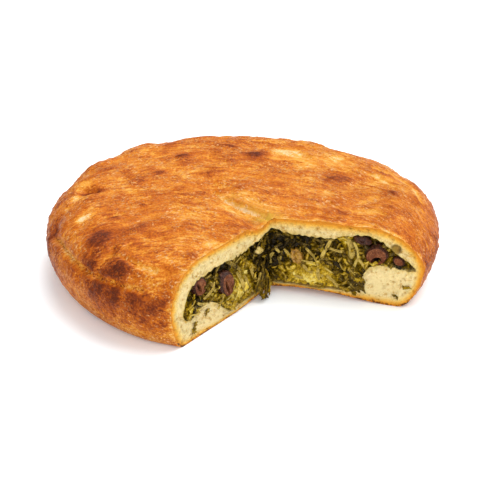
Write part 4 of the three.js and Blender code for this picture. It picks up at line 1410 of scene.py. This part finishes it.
def field_of(side):
    """Points and faces of the field at a cut, with their lightness and how thickly it is strewn."""
    shares = np.linspace(FIELD_FROM, FIELD_TO, FIELD_COLUMNS + 1)
    distance, floor, ceiling = room(CUTS[side][0], shares, FIELD_MARGIN)
    ceiling = np.maximum(ceiling, floor + 0.3)
    z = lerp(floor[:, None], ceiling[:, None], np.linspace(0, 1, FIELD_LEVELS + 1)[None, :])
    r = np.broadcast_to(distance[:, None], z.shape)
    sink = MID_SINKING + patched(side, r, z, 5)
    back = np.maximum(sink - FIELD_DEPTH, -0.2)
    points = along(CUTS[side][0], r, z) - outward_of(side) * back[..., None]
    light = MID_LIGHTNESS + patched(side, r, z, 4)
    cover = smooth(light, MID_LIGHTNESS + 0.26, MID_LIGHTNESS + 0.02)
    clear = smooth(from_topping(side, r, z), 0.75, 1.15)
    count = FIELD_LEVELS + 1
    faces = []
    for i in range(FIELD_COLUMNS):
        for j in range(FIELD_LEVELS):
            a = i * count + j
            face = (a, a + 1, a + count + 1, a + count)
            faces.append(face[::-1] if side == "right" else face)
    cover = lerp(LEAST_COVER, 1, cover) * clear
    return points.reshape(-1, 3), light.ravel(), cover.ravel(), faces


def strew(name, side, seed, sizes):
    points, light, cover, faces = field_of(side)
    thing = mesh_of(name, points, faces)
    write_attribute(thing, "lightness", light)
    write_attribute(thing, "cover", cover)
    grow(thing, strew_tree, {**sizes, "Seed": seed})
    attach(thing, "root")
    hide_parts("filling")


# The tree strews pieces over a field and turns each one its own way. How it strews leaves and
# stalks: spacing in metres, tilt in radians, sizes as shares of a kind's own.
LEAVES = {
    "Spacing": 2.5 * MM,
    "First Kind": 0,
    "Last Kind": first_stalk - 1,
    "Tilt": 0.5,
    "Smallest": 0.24,
    "Largest": 0.52,
    "Lighten": -0.06,
    "Vary": 0.34,
    "Stand Out": 0.9,
    "Seed": 0,
}
STALKS = {
    **LEAVES,
    "Spacing": 8.5 * MM,
    "First Kind": first_stalk,
    "Last Kind": len(pieces) - 1,
    "Tilt": 0.3,
    "Smallest": 0.5,
    "Largest": 0.9,
    "Lighten": -0.08,
    "Vary": 0.2,
    "Stand Out": 1.0,
}
MOST_PER_M2 = 260000.0
strew_tree, given = geometry_tree("greens_strewn", LEAVES)
tree = strew_tree
wires = {
    0: given.outputs[0],
    "Distance Min": given.outputs["Spacing"],
    "Density Max": MOST_PER_M2,
    "Density Factor": attribute_in(tree, "cover"),
    "Seed": given.outputs["Seed"],
}
settings = {"distribute_method": "POISSON"}
spots = put(tree, "GeometryNodeDistributePointsOnFaces", wires, **settings)


def random_value(tree, low, high, more_seed, kind="FLOAT"):
    low_slot, high_slot, out_slot = {"FLOAT": (2, 3, 1), "INT": (4, 5, 2)}[kind]
    seed = plus(tree, given.outputs["Seed"], more_seed)
    wires = {low_slot: low, high_slot: high, "Seed": seed}
    return put(tree, "FunctionNodeRandomValue", wires, data_type=kind).outputs[out_slot]


def turned(tree, rotation, x, y, z, size=1):
    """A rotation turned further, in its own frame, by angles about its axes times a size."""
    angles = scaled(tree, put(tree, "ShaderNodeCombineXYZ", {0: x, 1: y, 2: z}).outputs[0], size)
    more = put(tree, "FunctionNodeEulerToRotation", {0: angles}).outputs[0]
    wires = {0: rotation, 1: more}
    return put(tree, "FunctionNodeRotateRotation", wires, rotation_space="LOCAL").outputs[0]


light = plus(tree, attribute_in(tree, "lightness"), given.outputs["Lighten"])
vary = times(tree, random_value(tree, -1.0, 1.0, 1), given.outputs["Vary"])
toned = store_in(tree, spots.outputs[0], "lightness", plus(tree, light, vary))
roll = random_value(tree, 0.0, 2 * math.pi, 4)
lean = [random_value(tree, -1.0, 1.0, more) for more in (2, 3)]
rotation = turned(tree, spots.outputs["Rotation"], 0.0, 0.0, roll)
rotation = turned(tree, rotation, *lean, 0.0, given.outputs["Tilt"])
out = times(tree, given.outputs["Stand Out"], MM)
out = times(tree, random_value(tree, -1.0, 1.0, 5), out)
wires = {0: toned, "Offset": scaled(tree, spots.outputs["Normal"], out)}
set_out = put(tree, "GeometryNodeSetPosition", wires).outputs[0]
wires = {"Separate Children": True, "Reset Children": True, "Collection": kinds}
chosen = put(tree, "GeometryNodeCollectionInfo", wires)
first_kind, last_kind = given.outputs["First Kind"], given.outputs["Last Kind"]
smallest, largest = given.outputs["Smallest"], given.outputs["Largest"]
laid = put(tree, "GeometryNodeInstanceOnPoints", {
    0: set_out,
    "Instance": chosen.outputs[0],
    "Pick Instance": True,
    "Instance Index": random_value(tree, first_kind, last_kind, 6, "INT"),
    "Rotation": rotation,
    "Scale": random_value(tree, smallest, largest, 7),
})
whole = put(tree, "GeometryNodeRealizeInstances", {0: laid.outputs[0]})
finish = put(tree, "GeometryNodeSetMaterial", {0: whole.outputs[0], "Material": loose_leaf})
put(tree, "NodeGroupOutput", {0: finish.outputs[0]})

for side, seed in (("right", 3), ("left", 8)):
    strew(f"leaves_{side}", side, seed, LEAVES)
    strew(f"stalks_{side}", side, seed + 20, STALKS)
for piece in pieces:
    bpy.data.objects.remove(piece)
bpy.data.collections.remove(kinds)

# The ribs and stems that show most at the cuts: side, points by distance from the tip and
# height, width, how far they stand out, and lightness.
RIBS = (
    ("right", ((41.3, 44), (38.6, 38), (34.9, 30.4)), 2.6, 0.6, 0.44),
    ("right", ((50.7, 46.7), (55.8, 38.4), (52.8, 29)), 5.2, -1.0, 0.34),
    ("right", ((56.9, 44.6), (59.5, 39), (60.1, 33)), 1.4, 0.5, 0.55),
    ("right", ((60.1, 33), (57.5, 25), (56.7, 17.4)), 1.6, 0.3, 0.42),
    ("right", ((33.1, 21.7), (34, 13), (37.1, 7)), 2.4, 0.2, 0.48),
    ("right", ((8.4, 31), (5.5, 26), (7, 21)), 2.2, 0.2, 0.16),
    ("right", ((17, 14), (24, 12.8), (31, 15)), 2.4, 0.0, 0.40),
    ("right", ((2, 30), (-0.6, 25), (0.6, 20)), 2.2, 0.8, 0.46),
    ("right", ((3, 33), (6, 30), (7, 25)), 1.8, 0.4, 0.44),
    ("right", ((9, 33), (13, 29), (14, 24)), 1.6, 0.2, 0.40),
    ("right", ((22, 24), (28, 18), (37, 16)), 2.0, 0.0, 0.46),
    ("right", ((39, 17), (44, 13), (47, 9)), 2.4, 0.0, 0.48),
    ("right", ((24, 36), (29, 31), (33, 24)), 1.5, 0.2, 0.36),
    ("left", ((50.4, 42.3), (43, 37.5), (35.3, 30.2)), 2.6, 0.8, 0.20),
    ("left", ((24.1, 27.1), (21, 21), (16.1, 14.6)), 2.6, 0.4, 0.38),
    ("left", ((38.6, 30.1), (31.9, 19.1), (26.3, 9.8)), 3.4, 0.1, 0.48),
    ("left", ((32, 26), (26, 16), (21, 8)), 1.6, 0.2, 0.42),
    ("left", ((67.3, 34), (64, 30), (62.2, 25.3)), 2.2, 0.2, 0.30),
)
RIB_STEPS = (14, 8)
RIB_THICKNESS = 0.9
FIBRES = 9  # radians across half a rib
FIBRE_HEIGHT, CUPPED = 0.06, 0.16  # of a rib, as shares of its width
TAPER = 0.85  # share of a rib's width that is gone at its ends


def rib_along(side, line, wide, out, lightness):
    """A pale rib: a long strip, cupped and finely ribbed, along a bow through three points."""
    u = np.linspace(0, 1, RIB_STEPS[0] + 1)[:, None]
    v = np.linspace(-1, 1, RIB_STEPS[1] + 1)[None, :, None]
    start, bow, end = np.array(line, float)
    bow = 2 * bow - (start + end) / 2
    r, z = ((1 - u) ** 2 * start + 2 * u * (1 - u) * bow + u**2 * end).T
    spine = cut_point(side, r, z, out + 0.4 * np.sin(7 * u[:, 0]))
    outward = outward_of(side)
    across = np.cross(np.gradient(spine, axis=0), outward)
    across /= np.linalg.norm(across, axis=1, keepdims=True)
    half = wide / 2 * (0.8 + 0.2 * np.sin(5 * u + wide)) * (1 - TAPER * np.abs(2 * u - 1) ** 5)
    half = half[..., None]
    relief = FIBRE_HEIGHT * wide * np.cos(FIBRES * v) - CUPPED * wide * v**2
    middle = spine[:, None] + across[:, None] * half * v + outward * relief
    return middle, RIB_THICKNESS, 1, lightness


# Escarole that slipped out over the lip of the bottom crust, and scraps that the knife dragged
# over the crumb: side, from and to (distance from the tip, height, how far it stands out),
# width, lightness.
LOOSE = (
    ("left", (13, 23, 2), (15, 8, 4), 7, 0.16),
    ("left", (17, 17, 2.5), (18, 5, 5), 6, 0.24),
    ("left", (9, 15, 2.5), (13, 3, 6), 6, 0.14),
    ("left", (21, 13, 3), (16, 4, 5), 4, 0.40),
    ("left", (6, 12, 3), (8, 3, 5), 5, 0.44),
    ("left", (12, 9, 5), (18, 3.5, 6.5), 5, 0.30),
    ("left", (8, 19, 2), (7, 8, 3), 4, 0.50),
    ("right", (55, 24, 0.6), (61, 18, 0.8), 8, 0.26),
    ("right", (57, 19, 0.8), (64, 12, 0.8), 9, 0.20),
    ("right", (55, 14, 0.8), (62, 9.5, 0.9), 7, 0.24),
    ("right", (50, 10, 0.8), (59, 7, 0.8), 5, 0.40),
    ("right", (60, 21, 0.8), (65, 16.5, 0.8), 4, 0.52),
    ("left", (50, 13, 0.6), (42, 5, 0.8), 9, 0.54),
    ("left", (54, 12, 0.6), (46, 7, 0.7), 5, 0.36),
    ("left", (70, 15.6, 0.4), (72, 14, 0.4), 2.8, 0.42),
    ("left", (82.5, 11, 0.4), (85.5, 8, 0.4), 3, 0.46),
    ("left", (86, 7.6, 0.4), (84, 6, 0.4), 2.2, 0.5),
    ("right", (92.5, 15.6, 0.3), (95.5, 14.8, 0.3), 2.4, 0.50),
    ("right", (86, 8.5, 0.3), (87.5, 7, 0.3), 1.2, 0.22),
    ("right", (62, 13.5, 0.5), (66, 9, 0.5), 3, 0.30),
)
LOOSE_FOLDS = (2.6, 0.09, 0.05)  # folds, their height and the bend, for each mm of width
LOOSE_STEPS = (16, 10)


def loose_one(draw, side, start, end, wide, lightness):
    """A crumpled leaf that lies against a cut, from one place to another."""
    start, end = cut_point(side, *start), cut_point(side, *end)
    long = np.linalg.norm(end - start)
    run = (end - start) / long
    across = np.cross(outward_of(side), run)
    across /= np.linalg.norm(across)
    folds, height, bend = LOOSE_FOLDS
    size = (long + 2, wide, folds, height * wide, bend * wide)
    grid, rib = crumpled_leaf(draw, size, LOOSE_STEPS)
    middle = grid @ np.stack((run, across, np.cross(run, across))) + (start + end) / 2
    middle[..., 2] = np.maximum(middle[..., 2], LEAF_THICKNESS)
    return middle, LEAF_THICKNESS, rib, lightness


grids = [rib_along(*rib) for rib in RIBS] + [loose_one(draw, *leaf) for leaf in LOOSE]
shown = sheets("ribs_and_scraps", grids)
shown.data.materials.append(loose_leaf)
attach(shown, "root")
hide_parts("filling")


# ---- Olives, raisin and pine nut ---------------------------------------------------------
# Ripe black olives, cut through with the pie: wet dark skin round mauve flesh, with the hole
# where the stone was. They lie in the greens with a plump raisin and a toasted pine nut.

TOPPING_TURNS = 56
SKIN_STEPS = 26
FACE_STEPS = 10
PIT_STEPS = 8
ROUGH_SEEDS = (5, 6, 9)  # of the skin's wrinkles, its finer wrinkles and the cut flesh
PIT_DEPTH = 1.5  # of a stone's hole, as a share of its width
TOPPING_EDGE = math.radians(60)


def wavering(directions, seed, waves, most):
    """A smooth uneven value for each direction, out of a few sine waves."""
    draw = np.random.default_rng(seed)
    value = np.zeros(directions.shape[:-1])
    for _ in range(waves):
        pull = draw.normal(0, most, 3)
        value += np.sin(directions @ pull + draw.uniform(0, 2 * math.pi)) / waves
    return value


def topping_mesh(name, sizes, wrinkle, sharp):
    """A wrinkled oval, cut flat a little way in front of the pie's cut, with a stone's hole."""
    side, distance, z, out, long, wide, slope, tip, cut, pit = sizes
    angle, turn = CUTS[side]
    outward = outward_of(side)
    level = np.array((math.cos(angle), math.sin(angle), 0))
    rise = math.radians(slope)
    inward = -outward if side == "right" else outward
    flat_run = level * math.cos(tip) + inward * math.sin(tip)
    run = flat_run * math.cos(rise) + np.array((0, 0, 1)) * math.sin(rise)
    over = inward * math.cos(tip) - level * math.sin(tip)
    across = np.cross(over, run) * (-1 if np.cross(over, run)[2] < 0 else 1)
    form = np.stack((run * long / 2, across * wide / 2, over * wide / 2), axis=1)
    middle = cut_point(side, distance, z, out)
    pole = form.T @ outward
    size = np.linalg.norm(pole)
    pole = pole / size
    first = np.array((1.0, 0, 0)) - pole[0] * pole
    first /= np.linalg.norm(first)
    second = np.cross(pole, first)
    meets = math.acos(min(max((cut - out) / size, -0.98), 0.98))
    turns = np.linspace(0, 2 * math.pi, TOPPING_TURNS, endpoint=False)
    ring = np.cos(turns)[:, None] * first + np.sin(turns)[:, None] * second

    rows, flesh, hole = [], [], []
    for k in range(1, SKIN_STEPS + 1):
        bend = lerp(math.pi, meets, k / SKIN_STEPS)
        way = math.cos(bend) * pole + math.sin(bend) * ring
        rough = 1 + wrinkle * wavering(way, ROUGH_SEEDS[0], 7, sharp)
        rough = rough + wrinkle * 0.5 * wavering(way, ROUGH_SEEDS[1], 7, sharp * 2.6)
        rough = 1 + (rough - 1) * (0.3 if k == SKIN_STEPS else 1)
        rows.append(middle + (way * rough[:, None]) @ form.T)
        flesh.append(0.0)
        hole.append(0.0)
    rim = rows[-1]
    centre = rim.mean(axis=0)
    if pit:
        pit_long, pit_wide, pit_across, pit_along = pit
        centre = centre + across * pit_across + run * pit_along
        from_middle = rim - rim.mean(axis=0)
        bearing = np.arctan2(from_middle @ across / wide, from_middle @ run / long)[:, None]
        inner = centre + np.cos(bearing) * run * pit_long / 2 + np.sin(bearing) * across * pit_wide / 2
        inner -= outward * ((inner - rim.mean(axis=0)) @ outward)[:, None]
    else:
        inner = centre + (rim - centre) * 0.12
    for k in range(1, FACE_STEPS + 1):
        share = k / FACE_STEPS
        dip = 0.5 * math.sin(min(share * 3, 1) * math.pi / 2)
        dip = dip + 0.25 * np.sin(turns * 3 + share * 7) * share * (1 - share) * 4
        grain = 0.22 * wavering(lerp(rim, inner, share) / 2, ROUGH_SEEDS[2], 6, 2.4)
        rows.append(lerp(rim, inner, share) - outward * (dip + grain)[:, None])
        flesh.append(1.0 if meets > 0.6 else 0.0)
        hole.append(0.0)
    lip = rows[-1]
    if pit:
        for k in range(1, PIT_STEPS):
            share = k / PIT_STEPS
            turned_in = share * math.pi / 2
            depth = pit_wide * PIT_DEPTH * math.sin(turned_in)
            rows.append(lerp(lip, centre, 1 - math.cos(turned_in)) - outward * depth)
            flesh.append(1.0)
            hole.append(share)
    last = rows[-1].mean(axis=0)
    start = middle - pole @ form.T
    points = np.concatenate([start[None], *rows, last[None]])
    faces = [(0, 1 + (i + 1) % TOPPING_TURNS, 1 + i) for i in range(TOPPING_TURNS)]
    for k in range(len(rows) - 1):
        a, b = 1 + k * TOPPING_TURNS, 1 + (k + 1) * TOPPING_TURNS
        for i in range(TOPPING_TURNS):
            j = (i + 1) % TOPPING_TURNS
            faces.append((a + i, a + j, b + j, b + i))
    a = 1 + (len(rows) - 1) * TOPPING_TURNS
    faces += [(a + i, a + (i + 1) % TOPPING_TURNS, len(points) - 1) for i in range(TOPPING_TURNS)]
    thing = mesh_of(name, points, faces)
    face_outwards(thing)
    thing.data.set_sharp_from_angle(angle=TOPPING_EDGE)
    for attribute, rings in (("flesh", flesh), ("hole", hole)):
        each = np.repeat(rings, TOPPING_TURNS)
        write_attribute(thing, attribute, np.concatenate(([0.0], each, [rings[-1]])))
    return thing


# Painted shade: the stone's hole is near black inside.
PIT_SHADE = (0.010, 0.004, 0.004)
FRUIT_PATCH, FRUIT_GRAIN = 3.5, 0.8


def fruit_material(name, skin_colours, flesh_colours, gloss, flesh_rough, coat, bumpy):
    material, tree, skin, _, soft, fine = shader(name, FRUIT_PATCH, FRUIT_GRAIN, bumpy)
    mottled = weigh(tree, 0.5, (soft, 1.3, 0), (fine, 1.4, 0))
    cut = fade(tree, weigh(tree, value_of(tree, "flesh"), (fine, 0.3, 0)), 0.35, 0.75)
    outside = colours(tree, mottled, skin_colours)
    inside = colours(tree, mottled, flesh_colours)
    colour = blend(tree, cut, outside, inside)
    colour = blend(tree, fade(tree, value_of(tree, "hole"), 0.05, 0.6), colour, PIT_SHADE)
    tree.links.new(colour, skin.inputs["Base Color"])
    rough = weigh(tree, gloss, (cut, flesh_rough - gloss, 0), (fine, 0.25, 0))
    tree.links.new(rough, skin.inputs["Roughness"])
    shine = times(tree, minus(tree, 1, cut), coat)
    tree.links.new(shine, skin.inputs["Coat Weight"])
    set_values(skin, {
        "Specular IOR Level": 0.18,
        "Coat Roughness": 0.1,
        "Subsurface Weight": 0.08,
        "Subsurface Radius": (0.002, 0.0008, 0.0005),
        "Subsurface Scale": 1,
    })
    return material


OLIVE_SKIN = ((0, (0.010, 0.003, 0.002)), (0.5, (0.050, 0.013, 0.006)), (1, (0.15, 0.045, 0.018)))
OLIVE_FLESH = ((0, (0.045, 0.010, 0.003)), (0.5, (0.18, 0.047, 0.013)), (1, (0.44, 0.18, 0.07)))
RAISIN_SKIN = ((0, (0.06, 0.020, 0.001)), (0.5, (0.38, 0.18, 0.012)), (1, (0.78, 0.47, 0.10)))
NUT_SKIN = ((0, (0.26, 0.17, 0.02)), (0.5, (0.58, 0.42, 0.12)), (1, (0.84, 0.70, 0.36)))
olive_finish = fruit_material("olive", OLIVE_SKIN, OLIVE_FLESH, 0.26, 0.38, 0.15, 1.4)
raisin_finish = fruit_material("raisin", RAISIN_SKIN, RAISIN_SKIN, 0.3, 0.4, 0.5, 1.2)
nut_finish = fruit_material("pine_nut", NUT_SKIN, NUT_SKIN, 0.35, 0.45, 0.3, 0.4)
# For each kind: its material, its slot, how deep its wrinkles are and how close.
FINISHES = {
    "olive": (olive_finish, "olive", 0.07, 3.4),
    "raisin": (raisin_finish, "raisin", 0.24, 5.5),
    "pine_nut": (nut_finish, "pine_nut", 0.2, 2.8),
}
for name, sizes in TOPPINGS.items():
    kind = next(k for k in FINISHES if name.endswith(k))
    finish, slot, wrinkle, sharp = FINISHES[kind]
    topping = topping_mesh(name, sizes, wrinkle, sharp)
    topping.data.materials.append(finish)
    where = name[: -len(kind) - 1]
    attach(topping, "root")
    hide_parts(f"{kind}_{where}")


# ---- Table and light ---------------------------------------------------------------------
# A plain white table in a bright white room, lit from a window to the right and by a soft lamp
# above the viewer's shoulder.

ROOM = (0.50, 0.50, 0.51)
TABLE = 4000  # half its side

corners = [(-TABLE, -TABLE, 0), (TABLE, -TABLE, 0), (TABLE, TABLE, 0), (-TABLE, TABLE, 0)]
floor = mesh_of("table", corners, [(0, 1, 2, 3)])
white = bpy.data.materials.new("white_table")
white.use_nodes = True
set_values(white.node_tree.nodes["Principled BSDF"], {
    "Base Color": (0.90, 0.935, 0.955, 1),
    "Roughness": 0.6,
    "Emission Color": (0.97, 0.99, 1, 1),
    "Emission Strength": 0.1,
})
floor.data.materials.append(white)

world = bpy.data.worlds.new("room")
world.use_nodes = True
set_values(world.node_tree.nodes["Background"], {"Color": (*ROOM, 1)})
bpy.context.scene.world = world


def far_light(name, place, power, spread):
    """A far, soft light, from a place towards the pie."""
    light = bpy.data.lights.new(name, "SUN")
    light.energy = power
    light.angle = math.radians(spread)
    lamp = bpy.data.objects.new(name, light)
    lamp.location = place
    lamp.rotation_euler = (-Vector(place)).to_track_quat("-Z", "Y").to_euler()
    bpy.context.collection.objects.link(lamp)


far_light("window_light", (0.38, 0.3, 1.0), 3.25, 60)
far_light("front_light", (-0.15, -0.9, 0.7), 1.4, 70)
bpy.context.scene.view_settings.view_transform = "Standard"
